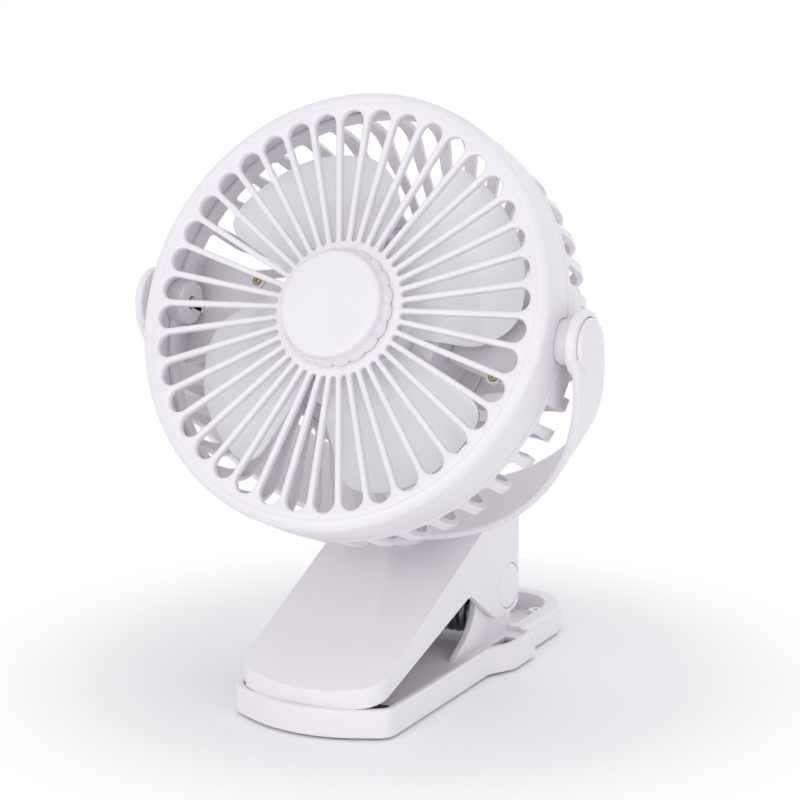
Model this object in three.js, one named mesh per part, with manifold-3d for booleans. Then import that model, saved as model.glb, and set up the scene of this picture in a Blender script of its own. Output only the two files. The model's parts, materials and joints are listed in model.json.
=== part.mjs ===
// Clip fan: a six-inch fan head tilts in a yoke, and the yoke swivels on a spring clip.
// Millimetres. +X is to the right, +Y to the back and +Z up. The origin is on the underside,
// in the middle of the clip's lower jaw.

import * as THREE from "three";
import { mergeVertices } from "three/addons/utils/BufferGeometryUtils.js";
import Module from "manifold-3d";

const wasm = await Module();
wasm.setup();

// ---------------------------------------------------------------- driving dimensions

// Clearances
const seam = 0.3; // between pieces that touch on the real fan
const running = 0.5; // between pieces that move past each other
const fit = 0.1; // where one piece seats in another
const weld = 0.4; // how far a feature runs into the piece that it grows from

// The deck slopes, the yoke leans and the fan looks up by one angle, in degrees.
const lean = 24.2;

// Lower jaw: the tray that the fan stands on
const trayLength = 157;
const trayWidth = 60.4;
const trayHeight = 10.5;
const trayWall = 2.6;
const trayFloor = 2;
const rimWidth = 4;
const rimDepth = 1.6;
const noseRadius = 46;
const noseSlope = 26.8;
const noseCorner = 12;
const lobeWidth = 73;
const lobeFront = 18;
const lobeBack = 7.3;
const tailWidth = 63.4;
const tailCorner = 20;
const pocketDepth = 6.5;
const pocketWall = 6;
const soleStep = 0.6;
const soleThickness = 2.4;

// Clip pin, ears and spring
const pinY = 28.2;
const pinZ = 27.2;
const pinRadius = 2.5;
const earThickness = 2.6;
const earFoot = 39.7;
const coilForward = 8.7;
const coilDrop = 8.7;
const coilRadius = 8;
const wireRadius = 1.15;
const coilTurns = 9;
const coilPitch = 2.97;
const arborRadius = 4.8;
const lowerLeg = 15;
const upperLeg = 21;

// Upper jaw: the sloping housing that carries the yoke
const jawWidth = 54;
const jawWall = 2.2;
const jawBite = 0.5;
const lipThickness = 4.8;
const lipSetback = 3;
const lipRadius = 40;
const lipSlope = 20;
const lipCorner = 16;
const lipRise = 17;
const jawBack = 9.8;
const lobeRadius = 12.5;
const notchForward = 31.1;
const pivotCapRadius = 8.4;
const pivotCapThickness = 1.1;
const padThickness = 1.5;
const padLength = 26;

// Yoke
const swivelBack = 3.5;
const yokeGap = 9;
const yokeThickness = 2.6;
const yokeFront = 12.4;
const yokeBackTop = 12.6;
const yokeBackLow = 20;
const armDiscRadius = 13;
const armDiscThickness = 3.5;
const armCoverRadius = 9.5;
const armCoverProud = 1.5;
const swivelBossRadius = 12;
const swivelBossHeight = 2;
const swivelShaftRadius = 6;
const collarRadius = 16;
const collarHeight = 2.7;
const stubProud = 2.2;
const washerRadius = 10;
const washerThickness = 0.6;
const retainerRadius = 11;
const retainerThickness = 1.8;
const swivelScrewRadius = 1.4;

// Fan head: z runs to the front of the fan from the plane of its tilt axis
const headRadius = 75;
const bandDepth = 17;
const bandWall = 2.4;
const bandRound = 3;
const grilleThickness = 3;
const plateInset = 0.3;
const rimBand = 5.7;
const slotCount = 40;
const slotOuterHalfWidth = 4;
const slotHubGap = 1.5;
const slotInnerHalfWidth = 0.95;
const capBaseRadius = 20.4;
const capSeatWidth = 1.5;
const capFaceInset = 2.5;
const hubRingWidth = 2.1;
const bayonetDepth = 1.7;
const entryHalfAngle = 7.6;
const lugHalfAngle = 5.7;
const scentPadRadius = 16;
const scentPadThickness = 3;
const capHeight = 6.3;
const scallopCount = 20;
const pivotBossRadius = 7.5;
const pivotBossGap = 1.1;

// Rear of the head
const ribCount = 40;
const ribSwirl = 32;
const flangeDepth = 3;
const spigotHeight = 3;
const ribThickness = 2.2;
const ribRimWidth = 5;
const ribHubWidth = 3.2;
const cageRingWidth = 2.6;
const drumRadius = 31;
const drumFront = 0.8;
const drumWall = 2;
const drumFace = 2.4;
const podStep = 6;
const shoulderWidth = 1.5;
const shoulderDepth = 3;
const podWall = 2.2;
const podStart = -23;
const podDepth = 26;
const rearCoverThickness = 2.4;
const webHalfAngle = 16;
const webTop = -10;
const webThickness = 3;
const postRadius = 3;
const postInset = 25.4;
const postAngle = -14.2;
const postTop = -9;

// Rotor
const bladeCount = 4;
const bladePhase = 15.2;
const tipClearance = 13;
const rotorHubFront = 10.5;
const rotorHubBack = 1.2;
const shaftRadius = 1.15;

// Power and controls
const cellRadius = 9.25;
const cellLength = 65.2;
const motorRadius = 14;
const motorLength = 18;
const boardWidth = 36;
const boardHeight = 17.5;
const boardThickness = 1.6;
const buttonRadius = 5;
const buttonTravel = 0.6;

// Facets round a full circle: the head's rims, the hub and pod, pins, and screws
const bigRound = 40;
const midRound = 24;
const smallRound = 16;
const tinyRound = 8;

// ---------------------------------------------------------------- worked-out places

const radians = THREE.MathUtils.degToRad;
const tanLean = Math.tan(radians(lean));
const cosLean = Math.cos(radians(lean));
const sinLean = Math.sin(radians(lean));

const trayFront = -trayLength / 2;
const trayBack = trayLength / 2;
const trayBed = trayHeight - rimDepth;
const lipY = trayFront + lipSetback;
const lipBottom = trayHeight + jawBite;
const deckAt = (y) => lipBottom + lipThickness + (y - lipY) * tanLean;
const coilY = pinY - coilForward;
const coilZ = pinZ - coilDrop;

const cheekInside = jawWidth / 2 - jawWall;
const earOutside = cheekInside - running;
const earInside = earOutside - earThickness;
const earRadius = jawBack - jawWall - running;

const hubRingRadius = capBaseRadius + hubRingWidth;
const hubHoleRadius = capBaseRadius - capSeatWidth;
const capFaceRadius = capBaseRadius - capFaceInset;
const slotInnerRadius = hubRingRadius + slotHubGap;
const slotOuterRadius = headRadius - rimBand - slotOuterHalfWidth;
const rotorHubRadius = hubRingRadius;
const bladeTip = headRadius - tipClearance;
const yokeRadius = headRadius + yokeGap;

// Heights in the yoke's own frame, whose origin is where the tilt and swivel axes cross
const yokeBottom = -yokeRadius - swivelBossHeight;
const collarTop = yokeBottom - seam;
const deckLevel = collarTop - collarHeight;
const yokeInside = yokeRadius - yokeThickness;
const discOutside = yokeRadius - running;
const discInside = discOutside - armDiscThickness;
const deckUnder = deckLevel - jawWall;
const stubEnd = deckUnder - stubProud;
const headOrigin = new THREE.Vector3(
  0,
  swivelBack + deckLevel * sinLean,
  deckAt(swivelBack) - deckLevel * cosLean,
);

const capBase = bandDepth + seam;
const plateTop = bandDepth - plateInset;
const plateBottom = plateTop - grilleThickness;
const hubFloor = rotorHubFront + 0.9;
const cageRadius = headRadius - bandWall;
const podRadius = drumRadius + podStep;
const shoulderRadius = podRadius + shoulderWidth;
const cageRingInner = shoulderRadius + fit;
const podFloor = podStart - shoulderDepth;
const podBack = podStart - podDepth;
const plateRadius = headRadius - rimBand + 1.6;
const plateSeat = plateBottom + 1.4;
const postReach = headRadius - postInset;
const bossEnd = discInside - pivotBossGap;

// ---------------------------------------------------------------- geometry helpers

// Merges the vertices of a closed geometry and hands it to the boolean kernel.
function toSolid(geometry) {
  const plain = geometry.index ? geometry.toNonIndexed() : geometry.clone();
  plain.deleteAttribute("normal");
  plain.deleteAttribute("uv");
  const merged = mergeVertices(plain, 1e-4);
  const corners = Array.from(merged.index.array);
  const faces = [];
  for (let i = 0; i < corners.length; i += 3) {
    const [a, b, c] = corners.slice(i, i + 3);
    if (a !== b && b !== c && c !== a) faces.push(a, b, c);
  }
  const build = (triVerts) =>
    new wasm.Manifold(
      new wasm.Mesh({
        numProp: 3,
        vertProperties: merged.attributes.position.array,
        triVerts: new Uint32Array(triVerts),
      }),
    );
  const solid = build(faces);
  return solid.volume() < 0 ? build(faces.reverse()) : solid;
}

function toGeometry(solid) {
  const { vertProperties, triVerts, numProp } = solid.getMesh();
  const positions = new Float32Array((vertProperties.length / numProp) * 3);
  for (let i = 0; i < positions.length / 3; i++)
    for (let axis = 0; axis < 3; axis++)
      positions[3 * i + axis] = vertProperties[numProp * i + axis];
  const geometry = new THREE.BufferGeometry();
  geometry.setAttribute("position", new THREE.BufferAttribute(positions, 3));
  geometry.setIndex(new THREE.BufferAttribute(new Uint32Array(triVerts), 1));
  geometry.computeVertexNormals();
  return geometry;
}

const join = (...pieces) => toGeometry(pieces.flat().map(toSolid).reduce((a, b) => a.add(b)));
const common = (...pieces) => toGeometry(pieces.map(toSolid).reduce((a, b) => a.intersect(b)));
const cut = (piece, ...tools) =>
  toGeometry(tools.flat().map(toSolid).reduce((rest, tool) => rest.subtract(tool), toSolid(piece)));

// A box between two corners
function block(x0, x1, y0, y1, z0, z1) {
  const geometry = new THREE.BoxGeometry(x1 - x0, y1 - y0, z1 - z0);
  return geometry.translate((x0 + x1) / 2, (y0 + y1) / 2, (z0 + z1) / 2);
}

// A revolved body round Z from a closed profile of [radius, height] points
function lathe(profile, segments = midRound) {
  const points = [...profile, profile[0]].map(([r, z]) => new THREE.Vector2(r, z));
  return new THREE.LatheGeometry(points, segments).rotateX(Math.PI / 2);
}

const rod = (radius, z0, z1, segments = smallRound) =>
  lathe([[0, z0], [radius, z0], [radius, z1], [0, z1]], segments);

const ring = (inner, outer, z0, z1, segments = midRound) =>
  lathe([[inner, z0], [outer, z0], [outer, z1], [inner, z1]], segments);

// Turns a body made round Z so that it lies along X; side is 1 for right and -1 for left.
const alongX = (geometry, side = 1) => geometry.rotateY((side * Math.PI) / 2);

// An outline with rounded corners. Corners are [x, y, radius], counter-clockwise, and a
// positive inset draws the whole outline in by that much.
function outline(corners, inset = 0) {
  const count = corners.length;
  const point = (i) => new THREE.Vector2(...corners[(i + count) % count].slice(0, 2));
  const direction = (i) => point(i + 1).sub(point(i)).normalize();
  const path = [];
  for (let i = 0; i < count; i++) {
    const before = direction(i - 1);
    const after = direction(i);
    const turn = Math.atan2(before.cross(after), before.dot(after));
    const slide = inset * Math.tan(turn / 2);
    const corner = point(i)
      .add(new THREE.Vector2(-before.y, before.x).multiplyScalar(inset))
      .addScaledVector(before, -slide);
    const radius = Math.max(corners[i][2] - Math.sign(turn) * inset, 0);
    if (radius < 0.05) {
      path.push(corner);
      continue;
    }
    const start = corner.clone().addScaledVector(before, -radius * Math.tan(Math.abs(turn) / 2));
    const inward = new THREE.Vector2(-before.y, before.x).multiplyScalar(Math.sign(turn));
    const centre = start.clone().addScaledVector(inward, radius);
    const steps = Math.max(2, Math.ceil(Math.abs(turn) / radians(25)));
    for (let k = 0; k <= steps; k++)
      path.push(start.clone().rotateAround(centre, (turn * k) / steps));
  }
  return path;
}

// An upright prism on an outline
const prism = (points, z0, z1) =>
  new THREE.ExtrudeGeometry(new THREE.Shape(points), { depth: z1 - z0, bevelEnabled: false })
    .translate(0, 0, z0);

// A prism along X whose outline is drawn in Y and Z
function sideways(points, x0, x1) {
  const turn = new THREE.Matrix4().makeBasis(
    new THREE.Vector3(0, 1, 0),
    new THREE.Vector3(0, 0, 1),
    new THREE.Vector3(1, 0, 0),
  );
  return prism(points, x0, x1).applyMatrix4(turn);
}

// A closed skin over rings of points that all have the same count
function loft(rings) {
  const count = rings[0].length;
  const positions = rings.flat().flatMap((p) => [p.x, p.y, p.z]);
  const faces = [];
  for (let i = 0; i + 1 < rings.length; i++)
    for (let j = 0; j < count; j++) {
      const a = i * count + j;
      const b = i * count + ((j + 1) % count);
      faces.push(a, b, b + count, a, b + count, a + count);
    }
  const last = (rings.length - 1) * count;
  for (let j = 1; j + 1 < count; j++) {
    faces.push(0, j + 1, j);
    faces.push(last, last + j, last + j + 1);
  }
  const geometry = new THREE.BufferGeometry();
  geometry.setAttribute("position", new THREE.Float32BufferAttribute(positions, 3));
  geometry.setIndex(faces);
  return geometry;
}

// Mirrors the right half of an outline to the left.
const mirrored = (right) => [...right, ...right.toReversed().map(([x, y, r]) => [-x, y, r])];

const polar = (radius, degrees, z = 0) =>
  new THREE.Vector3(radius * Math.cos(radians(degrees)), radius * Math.sin(radians(degrees)), z);

const moveTo = (geometry, { x, y, z }) => geometry.translate(x, y, z);

// A piece of a flat ring between two radii, centred on one direction
const sector = (inner, outer, halfAngle) => {
  const shape = new THREE.Shape();
  shape.absarc(0, 0, outer, -radians(halfAngle), radians(halfAngle), false);
  shape.absarc(0, 0, inner, radians(halfAngle), -radians(halfAngle), true);
  return shape;
};

function sectorPlate(inner, outer, halfAngle, z0, z1, turn) {
  const shape = sector(inner, outer, halfAngle);
  return new THREE.ExtrudeGeometry(shape, { depth: z1 - z0, bevelEnabled: false, curveSegments: 6 })
    .rotateZ(radians(turn))
    .translate(0, 0, z0);
}

// ---------------------------------------------------------------- lower jaw

function trayCorners() {
  const half = trayWidth / 2;
  const apex = trayFront - noseRadius * (1 / Math.cos(radians(noseSlope)) - 1);
  const shoulder = apex + half * Math.tan(radians(noseSlope));
  const lobeEnd = pinY + lobeBack;
  const right = [
    [half, shoulder, noseCorner],
    [half, pinY - lobeFront - 5, 6],
    [lobeWidth / 2, pinY - lobeFront + 5, 10],
    [lobeWidth / 2, lobeEnd, 2],
    [tailWidth / 2, lobeEnd, 1],
    [tailWidth / 2, trayBack, tailCorner],
  ];
  return [[0, apex, noseRadius], ...mirrored(right)];
}

const solePlaces = [-1, 1].flatMap((side) => [
  [side * (trayWidth / 2 - 10.5), trayFront + 24],
  [side * (trayWidth / 2 - 10.5), pinY - 4],
]);

function earOutline() {
  const foot = trayBed - weld;
  return outline([
    [pinY - earFoot, foot, 0],
    [pinY + earRadius, foot, 0],
    [pinY + earRadius, pinZ + earRadius, earRadius - 0.1],
    [pinY - 19.9, pinZ + earRadius, 5],
    [pinY - 22.2, pinZ - 4.9, 8],
  ]);
}

function makeLowerJaw() {
  const corners = trayCorners();
  const body = prism(outline(corners), soleStep, trayHeight);
  const front = block(-lobeWidth, lobeWidth, -trayLength, pinY + lobeBack, -1, trayHeight + 1);
  const tail = block(-lobeWidth, lobeWidth, pinY + lobeBack + 3, trayLength, -1, trayHeight + 1);
  const ceiling = trayBed - trayFloor;
  const pocketFloor = trayHeight - pocketDepth;
  const bed = common(prism(outline(corners, rimWidth), trayBed, trayHeight + 1), front);
  const pocket = common(prism(outline(corners, pocketWall), pocketFloor, trayHeight + 1), tail);
  const frontHollow = common(prism(outline(corners, trayWall), 0, ceiling), front);
  const soleHollow = prism(outline(corners, trayWall), 0, soleThickness);
  const lobeHoles = [-1, 1].map((side) => {
    const x = side * (lobeWidth / 2 - 6.8);
    return block(x - 2.2, x + 2.2, pinY - 15, pinY - 3, ceiling - 1, trayHeight + 1);
  });

  const ears = [-1, 1].map((side) =>
    sideways(earOutline(), ...[side * earInside, side * earOutside].sort((a, b) => a - b)));
  const stubs = [-1, 1].map((side) =>
    alongX(rod(3, earInside - 2.4, earInside + weld, smallRound), side).translate(0, coilY, coilZ));
  const ribs = [-1, 1].map((side) =>
    block(side * 9 - 0.8, side * 9 + 0.8, pinY + lobeBack + 2, trayBack - pocketWall + weld,
      pocketFloor - weld, pocketFloor + 3.5));
  const legSeats = block(-coilTurns * coilPitch / 2 - 3, -coilTurns * coilPitch / 2 + 1.5,
    coilY + 9, coilY + 14, trayBed - weld, coilZ - coilRadius - seam + 0.1);
  const bosses = solePlaces.map(([x, y]) =>
    rod(3.6, soleThickness + seam, ceiling + weld, smallRound).translate(x, y, 0));
  const tailBosses = [-1, 1].map((side) =>
    rod(3, pocketFloor - weld, trayHeight - 1.5, smallRound).translate(side * 23, trayBack - 19, 0));

  const pinHoles = alongX(rod(pinRadius + seam, -jawWidth, jawWidth, smallRound)).translate(0, pinY, pinZ);
  const screwHoles = solePlaces.map(([x, y]) => rod(1.5, -1, ceiling - 0.6, tinyRound).translate(x, y, 0));
  const hollow = cut(body, bed, pocket, frontHollow, soleHollow, lobeHoles);
  const solid = join(hollow, ears, stubs, ribs, legSeats, bosses, tailBosses);
  return cut(solid, pinHoles, screwHoles);
}

function makeSole() {
  const plate = prism(outline(trayCorners(), trayWall + seam), 0, soleThickness - seam);
  const holes = solePlaces.flatMap(([x, y]) => [
    rod(3.1, -1, 1.4, tinyRound).translate(x, y, 0),
    rod(1.5, -1, soleThickness + 1, tinyRound).translate(x, y, 0),
  ]);
  return cut(plate, holes);
}

const makeSoleScrews = () =>
  solePlaces.map(([x, y]) =>
    lathe([[0, 0.4], [2.8, 0.4], [2.8, 1.1], [1.2, 1.1], [1.2, 5.6], [0, 5.6]], tinyRound)
      .translate(x, y, 0));

function makeLowerPad() {
  const plate = prism(outline(trayCorners(), rimWidth + seam), trayBed + 0.1, trayHeight - 0.1);
  const reach = block(-trayWidth, trayWidth, -trayLength, lipY + padLength, 0, trayHeight * 2);
  return common(plate, reach);
}

const makeClipPin = () =>
  alongX(rod(pinRadius, -cheekInside - 0.5, cheekInside + 0.5, smallRound)).translate(0, pinY, pinZ);

function makeArbor() {
  const half = earInside - seam;
  const tube = ring(3 + seam, arborRadius, -half, half, smallRound);
  return alongX(tube).translate(0, coilY, coilZ);
}

// One unbroken wire: a leg along the tray, the coil, and a leg under the deck.
function makeSpring() {
  const mean = coilRadius - wireRadius;
  const stepsPerTurn = 8;
  const startAngle = 270;
  const totalTurns = coilTurns + (startAngle - 135) / 360;
  const steps = Math.round(totalTurns * stepsPerTurn);
  const halfLength = (totalTurns * coilPitch) / 2;
  const onCoil = (k) => {
    const angle = radians(startAngle - (360 * totalTurns * k) / steps);
    const x = -halfLength + (2 * halfLength * k) / steps;
    return new THREE.Vector3(x, coilY + mean * Math.cos(angle), coilZ + mean * Math.sin(angle));
  };
  const path = [new THREE.Vector3(-halfLength, coilY + lowerLeg, coilZ - mean)];
  for (let k = 0; k <= steps; k++) path.push(onCoil(k));
  const upward = new THREE.Vector3(0, Math.SQRT1_2, Math.SQRT1_2);
  path.push(path.at(-1).clone().addScaledVector(upward, upperLeg));
  printLeastGap(path, stepsPerTurn);
  return tube(path, wireRadius, 5);
}

// A tube round a list of points, with its sections kept from turning
function tube(path, radius, sides) {
  const count = path.length;
  const along = path.map((_, i) =>
    path[Math.min(i + 1, count - 1)].clone().sub(path[Math.max(i - 1, 0)]).normalize());
  let up = new THREE.Vector3(1, 0, 0);
  const rings = path.map((point, i) => {
    up = up.clone().addScaledVector(along[i], -up.dot(along[i])).normalize();
    const side = along[i].clone().cross(up);
    return Array.from({ length: sides }, (_, k) => {
      const angle = (2 * Math.PI * k) / sides;
      return point.clone().addScaledVector(up, radius * Math.cos(angle))
        .addScaledVector(side, radius * Math.sin(angle));
    });
  });
  return loft(rings);
}

function printLeastGap(path, stepsPerTurn) {
  let least = Infinity;
  for (let i = 0; i < path.length; i++)
    for (let j = i + Math.floor(stepsPerTurn / 2); j < path.length; j++)
      least = Math.min(least, path[i].distanceTo(path[j]));
  console.log(`least gap of the spring to itself: ${(least - 2 * wireRadius).toFixed(2)} mm`);
}

// ---------------------------------------------------------------- upper jaw

function jawPlan(inset = 0) {
  const half = jawWidth / 2;
  const apex = lipY - lipRadius * (1 / Math.cos(radians(lipSlope)) - 1);
  const shoulder = apex + half * Math.tan(radians(lipSlope));
  const right = [
    [half, shoulder, lipCorner],
    [half, pinY + jawBack, 3],
  ];
  return outline([[0, apex, lipRadius], ...mirrored(right)], inset);
}

const jawUnderside = (y) => lipBottom + (y - lipY) * Math.tan(radians(lipRise));

function jawSide(inset = 0) {
  const ahead = lipY - 6;
  const back = pinY + jawBack;
  const lobe = pinZ - lobeRadius;
  const notch = pinY - notchForward;
  return outline([
    [ahead, jawUnderside(ahead), 0],
    [notch, jawUnderside(notch), 4],
    [pinY - 17.7, lobe, 12],
    [back, lobe, 8],
    [back, deckAt(back), 9],
    [ahead, deckAt(ahead), 0],
  ], inset);
}

// A slab under the deck between two depths, square to the slope
function underDeck(y0, y1, top, bottom) {
  const drop = 1 / cosLean;
  return [
    new THREE.Vector2(y0, deckAt(y0) - bottom * drop),
    new THREE.Vector2(y1, deckAt(y1) - bottom * drop),
    new THREE.Vector2(y1, deckAt(y1) - top * drop),
    new THREE.Vector2(y0, deckAt(y0) - top * drop),
  ];
}

// A slab above the slanted underside of the lip
function overUnderside(y0, y1, bottom, top) {
  return [
    new THREE.Vector2(y0, jawUnderside(y0) + bottom),
    new THREE.Vector2(y1, jawUnderside(y1) + bottom),
    new THREE.Vector2(y1, jawUnderside(y1) + top),
    new THREE.Vector2(y0, jawUnderside(y0) + top),
  ];
}

// Carries a body made in the yoke's frame to the clip's frame.
const fromYoke = (geometry) => moveTo(geometry.rotateX(radians(lean)), headOrigin);

function makeUpperJaw() {
  const half = jawWidth / 2;
  const tall = deckAt(trayBack);
  const back = pinY + jawBack;
  const padEnd = lipY + padLength;
  const shellFront = padEnd + 2;
  const body = common(sideways(jawSide(), -half, half), prism(jawPlan(), 0, tall));
  const inside = common(
    sideways(outline([
      [shellFront - jawWall, -trayHeight, 0],
      [back, -trayHeight, 0],
      [back, deckAt(back), 9],
      [shellFront - jawWall, deckAt(shellFront - jawWall), 0],
    ], jawWall), -cheekInside, cheekInside),
    prism(jawPlan(jawWall), 0, tall),
  );
  const rearOpening = block(-cheekInside, cheekInside, back - jawWall - 1, back + 1, 0, pinZ + 2);
  const padRecess = common(
    sideways(overUnderside(lipY - 6, padEnd + seam, -1, padThickness - 0.4 + seam), -half, half),
    prism(jawPlan(rimWidth), 0, tall),
  );
  const capRecess = [-1, 1].map((side) =>
    alongX(rod(pivotCapRadius, half - pivotCapThickness - seam, half + 1, midRound), side)
      .translate(0, pinY, pinZ));
  const pinHoles = alongX(rod(pinRadius + seam, -jawWidth, jawWidth, smallRound)).translate(0, pinY, pinZ);

  const ribs = [-1, 1].map((side) =>
    sideways(underDeck(shellFront - 1, swivelBack - 12, jawWall - weld, jawWall + 4),
      side * 11 - 0.8, side * 11 + 0.8));
  const crossRib = sideways(
    underDeck(shellFront + 14, shellFront + 15.6, jawWall - weld, jawWall + 4),
    -cheekInside - weld, cheekInside + weld);
  const collar = fromYoke(ring(swivelShaftRadius + 0.2, collarRadius, deckLevel - 0.6, collarTop));
  const swivelHole = fromYoke(rod(swivelShaftRadius + running, deckLevel - 6, collarTop + 1, smallRound));

  const shell = cut(body, inside, rearOpening);
  return cut(join(shell, ribs, crossRib, collar), padRecess, capRecess, pinHoles, swivelHole);
}

function makeUpperPad() {
  const slab = overUnderside(lipY + 2, lipY + padLength, -0.4, padThickness - 0.4);
  const half = jawWidth / 2;
  return common(
    sideways(slab, -half, half),
    prism(jawPlan(rimWidth + seam), 0, deckAt(trayBack)),
  );
}

function makePivotCap(side) {
  const inner = jawWidth / 2 - pivotCapThickness;
  const outer = jawWidth / 2;
  const radius = pivotCapRadius - seam;
  const profile = [[0, inner], [radius, inner], [radius, outer - 0.3], [radius - 0.3, outer], [0, outer]];
  return alongX(lathe(profile, midRound), side).translate(0, pinY, pinZ);
}

// ---------------------------------------------------------------- yoke (its own frame)

// How far back the band reaches: narrow by the arm discs and wide round the bottom
function yokeBackAt(fromBottom) {
  const along = THREE.MathUtils.smoothstep(Math.abs(fromBottom), 35, 82);
  return THREE.MathUtils.lerp(yokeBackLow, yokeBackTop, along);
}

function yokeSection(angle) {
  const round = 0.8;
  const back = yokeBackAt(angle);
  const across = [
    [yokeInside, -yokeFront + round],
    [yokeInside + round, -yokeFront],
    [yokeRadius - round, -yokeFront],
    [yokeRadius, -yokeFront + round],
    [yokeRadius, back - round],
    [yokeRadius - round, back],
    [yokeInside + round, back],
    [yokeInside, back - round],
  ];
  const sin = Math.sin(radians(angle));
  const cos = Math.cos(radians(angle));
  return across.map(([r, y]) => new THREE.Vector3(r * sin, y, -r * cos));
}

function makeYoke() {
  const band = [];
  for (let angle = -90; angle <= 90; angle += 9) band.push(yokeSection(angle));
  const discs = [-1, 1].map((side) => {
    const r = armDiscRadius;
    const profile = [[0, discInside], [r, discInside], [r, discOutside - 0.8],
      [r - 0.8, discOutside], [0, discOutside]];
    return alongX(lathe(profile, smallRound), side);
  });
  const boss = rod(swivelBossRadius, yokeBottom, -yokeInside - weld, midRound);
  const stub = rod(swivelShaftRadius, stubEnd, yokeBottom + weld, smallRound);
  const coverHollow = [-1, 1].map((side) =>
    alongX(rod(armCoverRadius + seam, discOutside - 1.6, yokeRadius + 2, midRound), side));
  const headHollow = [-1, 1].map((side) =>
    alongX(rod(4.2, discInside + 1.2, yokeRadius, smallRound), side));
  const screwHoles = [-1, 1].map((side) =>
    alongX(rod(2.3, discInside - 1, yokeRadius, smallRound), side));
  const swivelBore = rod(swivelScrewRadius + seam, stubEnd - 1, -yokeInside - 1.4, tinyRound);
  return cut(join(loft(band), discs, boss, stub), coverHollow, headHollow, screwHoles, swivelBore);
}

function makeArmCover(side) {
  const floor = discOutside - 1.6 + seam;
  const face = discOutside + armCoverProud;
  const r = armCoverRadius;
  const profile = [
    [4.5, floor], [r, floor], [r, face - 0.9], [r - 0.4, face - 0.3], [r - 1.6, face],
    [0, face], [0, face - 1.4], [4.5, face - 1.4],
  ];
  return alongX(lathe(profile, midRound), side);
}

const makeSwivelWasher = () =>
  ring(swivelShaftRadius + seam, washerRadius, deckUnder - seam - washerThickness,
    deckUnder - seam, smallRound);

function makeSwivelRetainer() {
  const top = deckUnder - washerThickness - 2 * seam;
  const disc = rod(retainerRadius, stubEnd - retainerThickness, top, smallRound);
  const seat = rod(swivelShaftRadius + seam, stubEnd - seam, top + 1, smallRound);
  return cut(disc, seat, rod(swivelScrewRadius + seam, stubEnd - 4, top, tinyRound));
}

function makeSwivelScrew() {
  const head = stubEnd - retainerThickness - seam;
  const rim = swivelScrewRadius + 1.6;
  return lathe([[0, head - 1.8], [rim, head - 1.8], [rim, head],
    [swivelScrewRadius, head], [swivelScrewRadius, -yokeInside - 2], [0, -yokeInside - 2]], tinyRound);
}

// ---------------------------------------------------------------- front grille (head frame)

// One teardrop opening, wide at the rim and narrow at the hub
function slotHole(angle) {
  const spread = Math.asin((slotOuterHalfWidth - slotInnerHalfWidth) /
    (slotOuterRadius - slotInnerRadius));
  const path = [];
  const arc = (centre, radius, from, to, steps) => {
    for (let k = 0; k <= steps; k++) {
      const a = from + ((to - from) * k) / steps;
      path.push(new THREE.Vector2(centre + radius * Math.cos(a), radius * Math.sin(a)));
    }
  };
  const side = Math.PI / 2 + spread;
  arc(slotOuterRadius, slotOuterHalfWidth, -side, side, 5);
  arc(slotInnerRadius, slotInnerHalfWidth, side, 2 * Math.PI - side, 1);
  const centre = new THREE.Vector2();
  return new THREE.Path(path.map((p) => p.rotateAround(centre, angle)));
}

// The ring round the front: its lip holds the slotted plate, which seats from behind.
function makeFrontRing() {
  const round = [];
  for (let k = 0; k <= 3; k++) {
    const a = (Math.PI / 2) * (k / 3);
    round.push([headRadius - bandRound + bandRound * Math.cos(a),
      bandDepth - bandRound + bandRound * Math.sin(a)]);
  }
  const band = lathe([
    [cageRadius, 0], [headRadius, 0], ...round, [plateRadius + fit, bandDepth],
    [plateRadius + fit, plateSeat + fit], [cageRadius, plateSeat + fit],
  ], bigRound);
  const bossNotches = [-1, 1].map((side) =>
    alongX(rod(pivotBossRadius + seam, cageRadius - 4, headRadius + 2, smallRound), side));
  return cut(band, bossNotches);
}

function makeFrontGrille() {
  const bevel = 0.5;
  const face = new THREE.Shape().absarc(0, 0, plateRadius, 0, 2 * Math.PI);
  for (let k = 0; k < slotCount; k++) face.holes.push(slotHole((2 * Math.PI * k) / slotCount));
  const deepPlate = new THREE.ExtrudeGeometry(face, {
    depth: grilleThickness,
    bevelThickness: bevel,
    bevelSize: bevel,
    bevelOffset: -bevel,
    bevelSegments: 1,
    curveSegments: bigRound / 2,
  }).translate(0, 0, plateBottom - bevel);
  const plate = cut(deepPlate, rod(headRadius, 0, plateBottom, tinyRound));
  const flange = ring(plateRadius - 0.6, cageRadius - fit, plateBottom, plateSeat, bigRound);

  const hub = lathe([
    [0, hubFloor], [hubRingRadius - 1, hubFloor], [hubRingRadius, hubFloor + 1],
    [hubRingRadius, bandDepth - 0.5], [hubRingRadius - 0.5, bandDepth], [0, bandDepth],
  ], bigRound);
  const cupDepth = rod(hubHoleRadius, hubFloor + 1.6, bandDepth + 1, midRound);
  const grooveFrom = hubHoleRadius - 1;
  const grooveTo = hubHoleRadius + bayonetDepth;
  const groove = ring(grooveFrom, grooveTo, hubFloor + 2, hubFloor + 4.2, midRound);
  const entries = [0, 180].map((turn) =>
    sectorPlate(grooveFrom, grooveTo, entryHalfAngle, hubFloor + 2, bandDepth + 1, turn + 24));
  return cut(join(plate, flange, hub), cupDepth, groove, entries);
}

function makeScentPad() {
  const floor = hubFloor + 1.6 + 0.1;
  return rod(scentPadRadius, floor, floor + scentPadThickness, midRound);
}

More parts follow.
